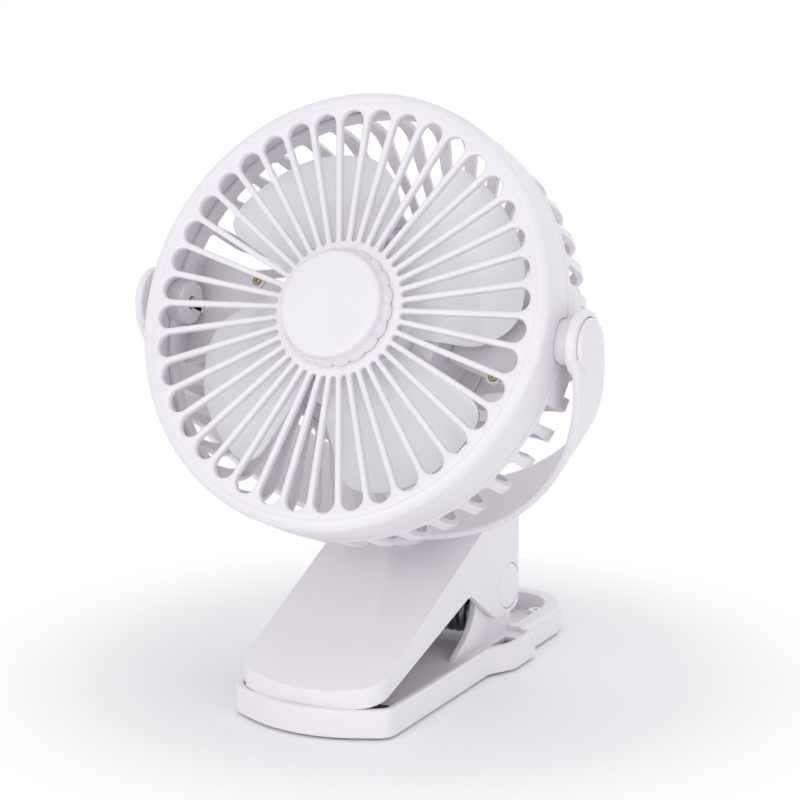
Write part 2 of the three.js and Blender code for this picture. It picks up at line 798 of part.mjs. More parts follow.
function makeHubCap() {
  const perScallop = 3;
  const count = scallopCount * perScallop;
  const layer = ([radius, depth, z]) =>
    Array.from({ length: count }, (_, k) => {
      const wave = Math.abs(Math.sin((Math.PI * k) / perScallop));
      return polar(radius - depth * (1 - wave), (360 * k) / count, z);
    });
  const top = bandDepth + capHeight;
  const skin = loft([
    [capBaseRadius, 0.9, capBase],
    [capBaseRadius - 0.3, 0.9, capBase + 1.2],
    [capFaceRadius + 1.1, 0.7, capBase + 2.8],
    [capFaceRadius + 0.4, 0, top - 1],
    [capFaceRadius - 0.6, 0, top],
  ].map(layer));
  const bore = scentPadRadius + 0.6;
  const hollow = rod(bore, capBase - 1, top - 1.8, midRound);
  const spigotEnd = hubFloor + 2.4;
  const spigot = ring(bore + 0.3, hubHoleRadius - seam, spigotEnd, capBase + weld, midRound);
  const lugs = [0, 180].map((turn) =>
    sectorPlate(bore + 0.8, hubHoleRadius + bayonetDepth - 0.4, lugHalfAngle,
      spigotEnd, spigotEnd + 1.2, turn));
  return join(cut(skin, hollow), spigot, lugs);
}

// ---------------------------------------------------------------- rear shell (head frame)

// Radius and height of the cage's outer face, from the rim in to the pod
const cageBack = podStart - 2;
const cageProfile = new THREE.SplineCurve([
  new THREE.Vector2(headRadius - 1.3, 0.6 - flangeDepth),
  new THREE.Vector2(headRadius - 1.8, cageBack + 16),
  new THREE.Vector2(headRadius - 5, cageBack + 7.5),
  new THREE.Vector2(headRadius - 15, cageBack + 2.6),
  new THREE.Vector2(headRadius - 29, cageBack + 0.4),
  new THREE.Vector2(cageRingInner + 1, cageBack),
]);

// One flat rib that swirls in from the rim to the ring round the pod
function cageRib(angle) {
  const steps = 4;
  const thick = ribThickness / 2;
  const rings = [];
  for (let k = 0; k <= steps; k++) {
    const t = k / steps;
    const spot = cageProfile.getPoint(t);
    const slope = cageProfile.getTangent(t);
    const inwards = (headRadius - spot.x) / (headRadius - podRadius);
    const turn = angle - ribSwirl * inwards;
    const half = THREE.MathUtils.lerp(ribRimWidth, ribHubWidth, inwards) / 2;
    const place = (across, off) => {
      const r = spot.x + off * slope.y;
      const z = spot.y - off * slope.x;
      const sweep = THREE.MathUtils.radToDeg(across / r);
      return polar(r, turn + sweep, z);
    };
    rings.push([place(-half, -thick), place(half, -thick), place(half, thick), place(-half, thick)]);
  }
  return loft(rings);
}

const coverPosts = [30, 150, 270].map((angle) => polar(podRadius - podWall - 3.3, angle));
const screwPosts = [0, 180].map((turn) => polar(postReach, postAngle + turn));
const motorScrewPlaces = [45, 225].map((angle) => polar(8, angle));
const coverInside = podBack + rearCoverThickness;

// The drum that faces the rotor and the pod behind it, turned in one
function makeMotorPod() {
  const core = lathe([
    [0, drumFront], [drumRadius - 0.8, drumFront], [drumRadius, drumFront - 0.8],
    [drumRadius, podStart], [shoulderRadius, podStart], [shoulderRadius, podFloor],
    [podRadius, podFloor], [podRadius, coverInside + seam],
    [podRadius - podWall, coverInside + seam], [podRadius - podWall, podFloor],
    [drumRadius - drumWall, podFloor], [drumRadius - drumWall, drumFront - drumFace],
    [0, drumFront - drumFace],
  ], bigRound);
  const tubes = coverPosts.map((p) => moveTo(rod(2.8, coverInside + seam, podFloor + weld, smallRound), p));
  const shaftHole = rod(4, drumFront - 4, drumFront + 1, smallRound);
  const motorHoles = motorScrewPlaces.flatMap((p) => [
    moveTo(rod(1.6, drumFront - 4, drumFront + 1, tinyRound), p),
    moveTo(rod(2.6, drumFront - 1.4, drumFront + 1, tinyRound), p),
  ]);
  const tubeHoles = coverPosts.map((p) =>
    moveTo(rod(1.3, coverInside - 1, podFloor - 5, tinyRound), p));
  return cut(join(core, tubes), shaftHole, motorHoles, tubeHoles);
}

// The flange, its ribs and the ring they run to, with webs that steady the drum
function makeRearShell() {
  const spigotInner = cageRadius - 1.7;
  const flange = lathe([
    [spigotInner, -flangeDepth], [headRadius, -flangeDepth], [headRadius, -seam],
    [cageRadius - seam, -seam], [cageRadius - seam, spigotHeight], [spigotInner, spigotHeight],
  ], bigRound);
  const ribs = Array.from({ length: ribCount }, (_, k) => cageRib((360 * (k + 0.5)) / ribCount));
  const innerRing = ring(cageRingInner, cageRingInner + cageRingWidth,
    cageBack - 1.3, cageBack + 1.6, bigRound);

  const sides = [0, 180];
  const webs = sides.map((turn) =>
    sectorPlate(drumRadius + fit, cageRadius + 0.6, webHalfAngle, webTop - webThickness, webTop, turn));
  const walls = sides.map((turn) =>
    sectorPlate(cageRadius, headRadius - 0.4, webHalfAngle, webTop - webThickness,
      0.2 - flangeDepth, turn));
  const bosses = [-1, 1].map((side) =>
    alongX(rod(pivotBossRadius, cageRadius - 6, bossEnd, midRound), side));
  const gussets = [-1, 1].map((side) => {
    const [near, far] = [side * (cageRadius - 6), side * (cageRadius + 0.5)].sort((a, b) => a - b);
    return block(near, far, -1.5, 1.5, webTop - weld, 0);
  });
  const posts = screwPosts.map((p) => moveTo(rod(postRadius, webTop - weld, postTop, smallRound), p));
  const postHoles = screwPosts.map((p) => moveTo(rod(1.8, webTop - 2, postTop + 1, smallRound), p));
  const tiltHoles = [-1, 1].map((side) =>
    alongX(rod(2.3, cageRadius - 8, bossEnd + 1, smallRound), side));

  const whole = join(flange, ribs, innerRing, walls, webs, bosses, gussets, posts);
  return cut(whole, postHoles, tiltHoles);
}

const makePostInserts = () =>
  screwPosts.map((p) => moveTo(ring(0.8, 1.5, webTop - 1.6, postTop - 0.1, tinyRound), p));

const makeTiltScrew = (side) =>
  alongX(lathe([
    [0, cageRadius - 6.4], [1.9, cageRadius - 6.4], [1.9, discInside + 1.2 + seam],
    [3.6, discInside + 1.2 + seam], [3.6, discInside + 3.2], [0, discInside + 3.2],
  ], smallRound), side);

const makeTiltWasher = (side) =>
  alongX(ring(2.3, pivotBossRadius - 1.5, bossEnd + seam, discInside - seam, smallRound), side);

// ---------------------------------------------------------------- rotor (head frame)

// One broad twisted blade, as sections across the chord from the hub out to the tip
function makeBlade(centre) {
  const across = 5;
  const stations = [
    [rotorHubRadius - 1.4, 36], [rotorHubRadius + 10.5, 41], [bladeTip - 18, 43],
    [bladeTip - 9, 41], [bladeTip - 3, 32], [bladeTip, 17],
  ];
  const rings = stations.map(([r, half]) => {
    const out = (r - rotorHubRadius) / (bladeTip - rotorHubRadius);
    const high = THREE.MathUtils.lerp(rotorHubFront - 1.4, 4.5, Math.max(out, 0));
    const low = THREE.MathUtils.lerp(rotorHubBack + 1, -5.5, THREE.MathUtils.smoothstep(r, rotorHubRadius + 10.5, bladeTip - 12));
    const thickness = THREE.MathUtils.lerp(1.5, 1.1, out);
    const sweep = 7 * out * out;
    const front = [];
    const back = [];
    for (let k = 0; k <= across; k++) {
      const u = -1 + (2 * k) / across;
      const edge = 0.35 + 0.65 * (1 - u ** 4);
      const mid = (high + low) / 2 + ((high - low) / 2 - thickness / 2) * u * (half / 43);
      const camber = 0.8 * (1 - u * u);
      const angle = centre - sweep + u * half;
      front.push(polar(r, angle, mid + camber + (thickness / 2) * edge));
      back.unshift(polar(r, angle, mid + camber - (thickness / 2) * edge));
    }
    return [...front, ...back];
  });
  return loft(rings);
}

function makeRotor() {
  const wall = 1.6;
  const r = rotorHubRadius;
  const cup = lathe([
    [r - wall, rotorHubBack], [r, rotorHubBack], [r, rotorHubFront - 1.6],
    [r - 1.6, rotorHubFront], [0, rotorHubFront], [0, rotorHubFront - 2],
    [r - wall - 1, rotorHubFront - 2], [r - wall, rotorHubFront - 3],
  ], midRound);
  const boss = rod(4.2, rotorHubBack + 0.4, rotorHubFront - 1, smallRound);
  const blades = Array.from({ length: bladeCount }, (_, k) =>
    makeBlade(bladePhase + (360 * k) / bladeCount));
  const bore = rod(shaftRadius + seam, rotorHubBack - 1, rotorHubFront - 1.6, tinyRound);
  return cut(join(cup, boss, blades), bore);
}

const shaftBottom = drumFront - drumFace - 9;

const makeMotorShaft = () => rod(shaftRadius, shaftBottom + seam, rotorHubFront - 1.9, tinyRound);

// ---------------------------------------------------------------- drive and power (head frame)

function makeMotor() {
  const top = drumFront - drumFace - seam;
  const r = motorRadius;
  const can = lathe([
    [0, top - motorLength], [r - 1, top - motorLength], [r, top - motorLength + 1],
    [r, top - 0.6], [r - 0.6, top], [0, top],
  ], midRound);
  const nose = rod(3.6, top - 1, drumFront - 0.4, smallRound);
  const bore = rod(shaftRadius + seam, shaftBottom, drumFront + 1, tinyRound);
  const holes = motorScrewPlaces.map((p) => moveTo(rod(1.3, top - 5, top + 1, tinyRound), p));
  return cut(join(can, nose), bore, holes);
}

const makeMotorScrews = () =>
  motorScrewPlaces.map((p) =>
    moveTo(lathe([[0, drumFront - 6], [1, drumFront - 6], [1, drumFront - 1.1],
      [2.2, drumFront - 1.1], [2.2, drumFront - 0.3], [0, drumFront - 0.3]], tinyRound), p));

const cellZ = podFloor - seam - cellRadius;

function makeCell() {
  const half = cellLength / 2;
  return alongX(lathe([
    [0, -half], [cellRadius - 0.5, -half], [cellRadius, -half + 0.5],
    [cellRadius, half - 2], [cellRadius - 0.5, half - 1.3], [3, half - 1.3], [3, half], [0, half],
  ], smallRound)).translate(0, 0, cellZ);
}

const boardBottom = coverInside + 4.6;
const boardLow = cellRadius + 1.2;
const boardMiddle = boardLow + boardHeight / 2;
const boardPegs = [-1, 1].flatMap((side) => [
  new THREE.Vector3(side * (boardWidth / 2 - 2.2), boardLow + 2.2, 0),
]);
const buttonX = 4;
const portX = -10.5;
const lensX = 13;

const makeBoard = () =>
  block(-boardWidth / 2, boardWidth / 2, boardLow, boardLow + boardHeight,
    boardBottom, boardBottom + boardThickness);

const switchBottom = coverInside + 1.5;

function makeButtonSwitch() {
  const body = block(buttonX - 3, buttonX + 3, boardMiddle - 3, boardMiddle + 3,
    switchBottom + 0.9, boardBottom - 0.1);
  const plunger = rod(1.6, switchBottom, switchBottom + 1.2, tinyRound).translate(buttonX, boardMiddle, 0);
  return join(body, plunger);
}

function makePowerButton() {
  const face = podBack - 0.7;
  const top = switchBottom - buttonTravel - 0.1;
  const r = buttonRadius;
  const disc = lathe([
    [0, face], [r - 0.6, face], [r, face + 0.6], [r, coverInside - 0.4],
    [2, coverInside - 0.4], [2, top], [0, top],
  ], smallRound);
  return disc.translate(buttonX, boardMiddle, 0);
}

function makeChargePort() {
  const outer = block(portX - 4.5, portX + 4.5, boardMiddle - 1.6, boardMiddle + 1.6,
    podBack + 0.4, boardBottom - 0.1);
  const inner = block(portX - 4.1, portX + 4.1, boardMiddle - 1.2, boardMiddle + 1.2,
    podBack - 1, boardBottom - 1);
  const tongue = block(portX - 3.2, portX + 3.2, boardMiddle - 0.35, boardMiddle + 0.35,
    podBack + 1.2, boardBottom - 0.5);
  return join(cut(outer, inner), tongue);
}

const makeLens = () =>
  rod(1.3, podBack + 0.1, boardBottom - 0.1, tinyRound).translate(lensX, boardMiddle, 0);

function makeRearCover() {
  const r = podRadius;
  const plate = lathe([
    [0, podBack], [r - 2, podBack], [r - 0.6, podBack + 0.6], [r, podBack + 2],
    [r, coverInside], [0, coverInside],
  ], midRound);
  const pegs = boardPegs.map((p) => moveTo(rod(1.8, coverInside - weld, boardBottom - 0.1, tinyRound), p));
  const screwHoles = coverPosts.flatMap((p) => [
    moveTo(rod(1.5, podBack - 1, coverInside + 1, tinyRound), p),
    moveTo(rod(2.6, podBack - 1, podBack + 1.2, tinyRound), p),
  ]);
  const buttonHole = rod(buttonRadius + 0.35, podBack - 1, coverInside + 1, smallRound)
    .translate(buttonX, boardMiddle, 0);
  const portHole = block(portX - 4.8, portX + 4.8, boardMiddle - 1.9, boardMiddle + 1.9,
    podBack - 1, coverInside + 1);
  const lensHole = rod(1.6, podBack - 1, coverInside + 1, tinyRound).translate(lensX, boardMiddle, 0);
  return cut(join(plate, pegs), screwHoles, buttonHole, portHole, lensHole);
}

const makeCoverScrews = () =>
  coverPosts.map((p) =>
    moveTo(lathe([[0, podBack + 0.2], [2.3, podBack + 0.2], [2.3, podBack + 0.9],
      [1, podBack + 0.9], [1, podBack + 9], [0, podBack + 9]], tinyRound), p));

// ---------------------------------------------------------------- materials

const material = (color, roughness, metalness = 0) =>
  new THREE.MeshStandardMaterial({ color, roughness, metalness });

const whiteShell = () => material(0xeee8ed, 0.35);
const whiteRotor = () => material(0xf3f6fc, 0.4);
const blackRubber = () => material(0x1c1c1e, 0.9);
const steel = () => material(0xb8bcc2, 0.35, 0.9);
const springSteel = () => material(0x4a4c52, 0.4, 0.8);
const brass = () => material(0xc9a24e, 0.35, 0.9);

// ---------------------------------------------------------------- assembly

const clipFan = new THREE.Group();
const yokeFrame = new THREE.Group();
const headFrame = new THREE.Group();
yokeFrame.position.copy(headOrigin);
yokeFrame.rotation.x = radians(lean);
headFrame.position.copy(headOrigin);
headFrame.rotation.x = radians(90 - lean);
clipFan.add(yokeFrame, headFrame);

function add(parent, name, geometry, look) {
  const mesh = new THREE.Mesh(toGeometry(toSolid(geometry)), look);
  mesh.name = name;
  parent.add(mesh);
}

const addEach = (parent, name, geometries, look) =>
  geometries.forEach((geometry, i) => add(parent, `${name}_${i + 1}`, geometry, look));

add(clipFan, "lower_jaw", makeLowerJaw(), whiteShell());
add(clipFan, "base_sole", makeSole(), blackRubber());
addEach(clipFan, "sole_screw", makeSoleScrews(), steel());
add(clipFan, "lower_jaw_pad", makeLowerPad(), blackRubber());
add(clipFan, "clip_pin", makeClipPin(), steel());
add(clipFan, "spring_arbor", makeArbor(), whiteShell());
add(clipFan, "jaw_spring", makeSpring(), springSteel());

add(clipFan, "upper_jaw", makeUpperJaw(), whiteShell());
add(clipFan, "upper_jaw_pad", makeUpperPad(), blackRubber());
add(clipFan, "pivot_cap_right", makePivotCap(1), whiteShell());
add(clipFan, "pivot_cap_left", makePivotCap(-1), whiteShell());

add(yokeFrame, "yoke", makeYoke(), whiteShell());
add(yokeFrame, "yoke_cap_right", makeArmCover(1), whiteShell());
add(yokeFrame, "yoke_cap_left", makeArmCover(-1), whiteShell());
add(yokeFrame, "swivel_washer", makeSwivelWasher(), steel());
add(yokeFrame, "swivel_retainer", makeSwivelRetainer(), whiteShell());
add(yokeFrame, "swivel_screw", makeSwivelScrew(), steel());

add(headFrame, "front_ring", makeFrontRing(), whiteShell());
add(headFrame, "front_grille", makeFrontGrille(), whiteShell());
add(headFrame, "rear_shell", makeRearShell(), whiteShell());
add(headFrame, "motor_pod", makeMotorPod(), whiteShell());
addEach(headFrame, "post_insert", makePostInserts(), brass());
add(headFrame, "tilt_screw_right", makeTiltScrew(1), steel());
add(headFrame, "tilt_screw_left", makeTiltScrew(-1), steel());
add(headFrame, "tilt_washer_right", makeTiltWasher(1), steel());
add(headFrame, "tilt_washer_left", makeTiltWasher(-1), steel());
add(headFrame, "scent_pad", makeScentPad(), material(0xe6e2d8, 0.95));
add(headFrame, "hub_cap", makeHubCap(), whiteShell());
add(headFrame, "rotor", makeRotor(), whiteRotor());
add(headFrame, "motor_shaft", makeMotorShaft(), steel());
add(headFrame, "motor", makeMotor(), steel());
addEach(headFrame, "motor_screw", makeMotorScrews(), steel());
add(headFrame, "battery_cell", makeCell(), material(0x3f6fb0, 0.5));
add(headFrame, "control_board", makeBoard(), material(0x2f6b4a, 0.6));
add(headFrame, "button_switch", makeButtonSwitch(), material(0x2a2b2e, 0.6));
add(headFrame, "charge_port", makeChargePort(), steel());
add(headFrame, "indicator_lens", makeLens(), material(0xf4f6f4, 0.2));
add(headFrame, "rear_cover", makeRearCover(), whiteShell());
addEach(headFrame, "cover_screw", makeCoverScrews(), steel());
add(headFrame, "power_button", makePowerButton(), whiteShell());

export default clipFan;
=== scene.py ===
import json
import math
import bpy
from mathutils import Matrix, Vector


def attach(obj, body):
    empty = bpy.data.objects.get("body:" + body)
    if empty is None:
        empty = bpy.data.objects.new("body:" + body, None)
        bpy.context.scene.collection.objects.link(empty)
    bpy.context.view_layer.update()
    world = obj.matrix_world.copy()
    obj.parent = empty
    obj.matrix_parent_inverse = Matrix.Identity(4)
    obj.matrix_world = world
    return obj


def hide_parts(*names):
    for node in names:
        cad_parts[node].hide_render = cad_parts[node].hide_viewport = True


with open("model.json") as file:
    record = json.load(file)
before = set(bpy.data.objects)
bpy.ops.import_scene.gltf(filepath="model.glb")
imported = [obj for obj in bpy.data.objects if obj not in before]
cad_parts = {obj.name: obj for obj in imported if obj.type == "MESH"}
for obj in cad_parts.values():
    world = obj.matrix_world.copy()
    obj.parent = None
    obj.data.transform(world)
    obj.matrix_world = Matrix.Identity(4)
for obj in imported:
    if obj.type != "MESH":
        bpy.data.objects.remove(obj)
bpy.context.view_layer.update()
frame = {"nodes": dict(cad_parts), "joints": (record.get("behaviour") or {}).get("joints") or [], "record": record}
print("frame loaded with", len(frame["nodes"]), "CAD nodes")

mm = 0.001
joints = {joint["name"]: joint for joint in frame["joints"]}
pinCentre = Vector(joints["clip_open"]["pos_m"])
tiltCentre = Vector(joints["head_tilt"]["pos_m"])
fanAxis = Vector(joints["fan_spin"]["axis"]).normalized()
deckAxis = Vector(joints["yoke_swivel"]["axis"]).normalized()
lean = math.acos(deckAxis.z)   # the deck's slope, the yoke's lean and the fan's tilt


def standOn(origin, upAxis):
    across = Vector((1, 0, 0))
    turn = Matrix((across, upAxis.cross(across), upAxis)).transposed().to_4x4()
    return Matrix.Translation(origin) @ turn @ Matrix.Scale(mm, 4)


clipPlace = Matrix.Scale(mm, 4)
yokePlace = standOn(tiltCentre, deckAxis)   # z runs up along the swivel axis
headPlace = standOn(tiltCentre, fanAxis)    # z runs out of the front of the fan


# modelling helpers, in millimetres until a piece is settled in its place

def selectOnly(piece):
    if bpy.context.object and bpy.context.object.mode != "OBJECT":
        bpy.ops.object.mode_set(mode="OBJECT")
    bpy.ops.object.select_all(action="DESELECT")
    piece.select_set(True)
    bpy.context.view_layer.objects.active = piece


def drawMesh(name, points, edges=(), faces=()):
    mesh = bpy.data.meshes.new(name)
    mesh.from_pydata([tuple(p) for p in points], list(edges), list(faces))
    piece = bpy.data.objects.new(name, mesh)
    bpy.context.scene.collection.objects.link(piece)
    selectOnly(piece)
    return piece


def cleanUp(piece, threshold=0.002):
    selectOnly(piece)
    bpy.ops.object.mode_set(mode="EDIT")
    bpy.ops.mesh.select_all(action="SELECT")
    bpy.ops.mesh.remove_doubles(threshold=threshold)
    bpy.ops.mesh.delete_loose(use_verts=True, use_edges=True, use_faces=False)
    bpy.ops.mesh.select_all(action="SELECT")
    bpy.ops.mesh.normals_make_consistent(inside=False)
    bpy.ops.object.mode_set(mode="OBJECT")
    return piece


def rounded(corners, inset=0.0, step=7.0):
    # corners are (x, y, radius), counter-clockwise; inset draws the outline in
    path = []
    count = len(corners)
    for i in range(count):
        here = Vector(corners[i][:2])
        before = (here - Vector(corners[i - 1][:2])).normalized()
        after = (Vector(corners[(i + 1) % count][:2]) - here).normalized()
        turn = math.atan2(before.x * after.y - before.y * after.x, before.dot(after))
        left = Vector((-before.y, before.x))
        corner = here + left * inset - before * inset * math.tan(turn / 2)
        radius = max(corners[i][2] - math.copysign(inset, turn), 0)
        if radius < 0.04:
            path.append(corner)
            continue
        start = corner - before * radius * math.tan(abs(turn) / 2)
        inward = left * math.copysign(radius, turn)
        centre = start + inward
        steps = max(3, math.ceil(math.degrees(abs(turn)) / step))
        for k in range(steps + 1):
            angle = turn * k / steps
            arm = start - centre
            path.append(centre + Vector((
                arm.x * math.cos(angle) - arm.y * math.sin(angle),
                arm.x * math.sin(angle) + arm.y * math.cos(angle))))
    return path


def spinProfile(name, profile, steps=96):
    # a closed profile of (radius, height), spun round Z
    count = len(profile)
    piece = drawMesh(name, [(r, 0, z) for r, z in profile],
                     [(i, (i + 1) % count) for i in range(count)])
    bpy.ops.object.mode_set(mode="EDIT")
    bpy.ops.mesh.select_all(action="SELECT")
    bpy.ops.mesh.spin(steps=steps, angle=2 * math.pi, center=(0, 0, 0), axis=(0, 0, 1))
    bpy.ops.object.mode_set(mode="OBJECT")
    return cleanUp(piece)


def spinRounded(name, corners, steps=96):
    # the same, from corners of (radius, height, rounding)
    return spinProfile(name, rounded(corners, 0, 18), steps)


def rod(name, radius, low, high, steps):
    return spinProfile(name, [(0, low), (radius, low), (radius, high), (0, high)], steps)


def polar(radius, degrees):
    return radius * math.cos(math.radians(degrees)), radius * math.sin(math.radians(degrees))


def smoothStep(x, low, high):
    t = min(max((x - low) / (high - low), 0), 1)
    return t * t * (3 - 2 * t)


def smoothLine(points, t):
    # Catmull-Rom through the points, t from 0 to 1
    last = len(points) - 1
    spot = min(max(t, 0), 1) * last
    i = min(int(spot), last - 1)
    w = spot - i
    a, b, c, d = (Vector(points[min(max(k, 0), last)]) for k in (i - 1, i, i + 1, i + 2))
    return 0.5 * ((2 * b) + (c - a) * w + (2 * a - 5 * b + 4 * c - d) * w * w
                  + (3 * b - a - 3 * c + d) * w ** 3)


def extrudeOutline(name, outline, low, high):
    count = len(outline)
    piece = drawMesh(name, [(p[0], p[1], low) for p in outline], (), [tuple(range(count))])
    bpy.ops.object.mode_set(mode="EDIT")
    bpy.ops.mesh.select_all(action="SELECT")
    bpy.ops.mesh.extrude_region_move(TRANSFORM_OT_translate={"value": (0, 0, high - low)})
    bpy.ops.object.mode_set(mode="OBJECT")
    return cleanUp(piece)


def extrudeSideways(name, outline, left, right):
    # the outline is drawn in Y and Z and runs along X
    piece = extrudeOutline(name, outline, left, right)
    turn = Matrix(((0, 0, 1, 0), (1, 0, 0, 0), (0, 1, 0, 0), (0, 0, 0, 1)))
    piece.data.transform(turn)
    return piece


def block(name, low, high):
    outline = [(low[0], low[1]), (high[0], low[1]), (high[0], high[1]), (low[0], high[1])]
    return extrudeOutline(name, outline, low[2], high[2])


def drawGrid(name, columns, rows):
    # flat, from -1 to 1 both ways, to be bent into shape
    bpy.ops.object.select_all(action="DESELECT")
    bpy.ops.mesh.primitive_grid_add(x_subdivisions=columns, y_subdivisions=rows, size=2)
    piece = bpy.context.object
    piece.name = name
    return piece


def addSpline(curve, points, closed):
    spline = curve.splines.new("POLY")
    spline.points.add(len(points) - 1)
    for spot, p in zip(spline.points, points):
        spot.co = (*p, 1)
    spline.use_cyclic_u = closed


def meshFromCurve(curve):
    piece = bpy.data.objects.new(curve.name, curve)
    bpy.context.scene.collection.objects.link(piece)
    selectOnly(piece)
    bpy.ops.object.convert(target="MESH")
    return piece


def alongX(piece, side=1):
    piece.data.transform(Matrix.Rotation(side * math.pi / 2, 4, "Y"))
    return piece


def shift(piece, x, y, z):
    piece.data.transform(Matrix.Translation((x, y, z)))
    return piece


def applyModifier(piece, kind, **settings):
    selectOnly(piece)
    modifier = piece.modifiers.new(kind.lower(), kind)
    for key, value in settings.items():
        setattr(modifier, key, value)
    bpy.ops.object.modifier_apply(modifier=modifier.name)
    return piece


def bevelEdges(piece, width, segments=3, angle=35.0):
    return applyModifier(piece, "BEVEL", width=width, segments=segments, limit_method="ANGLE",
                         angle_limit=math.radians(angle), use_clamp_overlap=True)


def thicken(piece, thickness, even=False):
    applyModifier(piece, "SOLIDIFY", thickness=thickness, offset=0, use_even_offset=even)
    return cleanUp(piece)


def combine(piece, tool, operation):
    applyModifier(piece, "BOOLEAN", object=tool, operation=operation, solver="EXACT")
    bpy.data.objects.remove(tool)
    return piece


def carve(piece, *tools):
    for tool in tools:
        combine(piece, tool, "DIFFERENCE")
    return piece


def joinPieces(piece, *others):
    selectOnly(piece)
    for other in others:
        other.select_set(True)
    bpy.ops.object.join()
    return piece


def copyTurned(piece, degrees):
    twin = piece.copy()
    twin.data = piece.data.copy()
    bpy.context.scene.collection.objects.link(twin)
    twin.data.transform(Matrix.Rotation(math.radians(degrees), 4, "Z"))
    return twin


def settle(piece, place, body, slot, nodes, smooth=32.0):
    # the finished piece gets its place in the mesh, its finish and its body, and the nodes it stands for are
    # hidden
    piece.data.transform(place)
    selectOnly(piece)
    bpy.ops.object.shade_smooth_by_angle(angle=math.radians(smooth))
    piece.data.materials.clear()
    piece.data.materials.append(finishes[slot])
    for polygon in piece.data.polygons:
        polygon.material_index = 0
    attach(piece, body)
    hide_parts(*nodes)


# materials

def startMaterial(name):
    material = bpy.data.materials.new(name)
    material.use_nodes = True
    tree = material.node_tree
    shader = tree.nodes["Principled BSDF"]
    place = tree.nodes.new("ShaderNodeTexCoord")
    return material, tree, shader, place.outputs["Object"]


def addNoise(tree, source, scale, detail=3.0):
    noise = tree.nodes.new("ShaderNodeTexNoise")
    noise.inputs["Scale"].default_value = scale
    noise.inputs["Detail"].default_value = detail
    tree.links.new(source, noise.inputs["Vector"])
    return noise.outputs["Fac"]


def addRange(tree, source, low, high):
    spread = tree.nodes.new("ShaderNodeMapRange")
    spread.inputs["To Min"].default_value = low
    spread.inputs["To Max"].default_value = high
    tree.links.new(source, spread.inputs["Value"])
    return spread.outputs["Result"]


def addTint(tree, source, dark, light):
    ramp = tree.nodes.new("ShaderNodeValToRGB")
    ramp.color_ramp.elements[0].position = 0.3
    ramp.color_ramp.elements[0].color = (*dark, 1)
    ramp.color_ramp.elements[1].position = 0.7
    ramp.color_ramp.elements[1].color = (*light, 1)
    tree.links.new(source, ramp.inputs["Fac"])
    return ramp.outputs["Color"]


def addMath(tree, operation, first, second):
    result = tree.nodes.new("ShaderNodeMath")
    result.operation = operation
    tree.links.new(first, result.inputs[0])
    tree.links.new(second, result.inputs[1])
    return result.outputs["Value"]


def addBump(tree, shader, source, strength, distance):
    bump = tree.nodes.new("ShaderNodeBump")
    bump.inputs["Strength"].default_value = strength
    bump.inputs["Distance"].default_value = distance
    tree.links.new(source, bump.inputs["Height"])
    tree.links.new(bump.outputs["Normal"], shader.inputs["Normal"])


def mouldedPlastic(name, dark, light, roughness, grain):
    # faint flow marks from the mould, a fine grain, and roughness that drifts a little
    material, tree, shader, place = startMaterial(name)
    flow = addNoise(tree, place, 18.0, 2.0)
    tree.links.new(addTint(tree, flow, dark, light), shader.inputs["Base Color"])
    tree.links.new(addRange(tree, addNoise(tree, place, 60.0), roughness - 0.04, roughness + 0.05),
                   shader.inputs["Roughness"])
    addBump(tree, shader, addNoise(tree, place, 2600.0, 2.0), grain, 0.00005)
    shader.inputs["IOR"].default_value = 1.49
    shader.inputs["Subsurface Weight"].default_value = 0.04
    shader.inputs["Subsurface Radius"].default_value = (0.003, 0.003, 0.003)
    return material


def rubber(name):
    # matt black with a fine open grain
    material, tree, shader, place = startMaterial(name)
    tint = addTint(tree, addNoise(tree, place, 90.0), (0.012, 0.012, 0.013), (0.03, 0.03, 0.032))
    tree.links.new(tint, shader.inputs["Base Color"])
    tree.links.new(addRange(tree, addNoise(tree, place, 300.0), 0.72, 0.9), shader.inputs["Roughness"])
    addBump(tree, shader, addNoise(tree, place, 1800.0), 0.35, 0.0002)
    return material


def metal(name, dark, light, roughness):
    # drawn or plated, with fine scratches and a gloss that varies
    material, tree, shader, place = startMaterial(name)
    tree.links.new(addTint(tree, addNoise(tree, place, 140.0), dark, light), shader.inputs["Base Color"])
    tree.links.new(addRange(tree, addNoise(tree, place, 500.0), roughness - 0.08, roughness + 0.1),
                   shader.inputs["Roughness"])
    addBump(tree, shader, addNoise(tree, place, 1200.0), 0.12, 0.0001)
    shader.inputs["Metallic"].default_value = 1.0
    return material


def plainFinish(name, dark, light, roughness, grainScale):
    # felt, wrap, board and switch, each at its own grain
    material, tree, shader, place = startMaterial(name)
    tint = addTint(tree, addNoise(tree, place, grainScale), dark, light)
    tree.links.new(tint, shader.inputs["Base Color"])
    tree.links.new(addRange(tree, addNoise(tree, place, 240.0), roughness - 0.05, roughness + 0.05),
                   shader.inputs["Roughness"])
    addBump(tree, shader, addNoise(tree, place, grainScale * 6), 0.2, 0.0001)
    return material


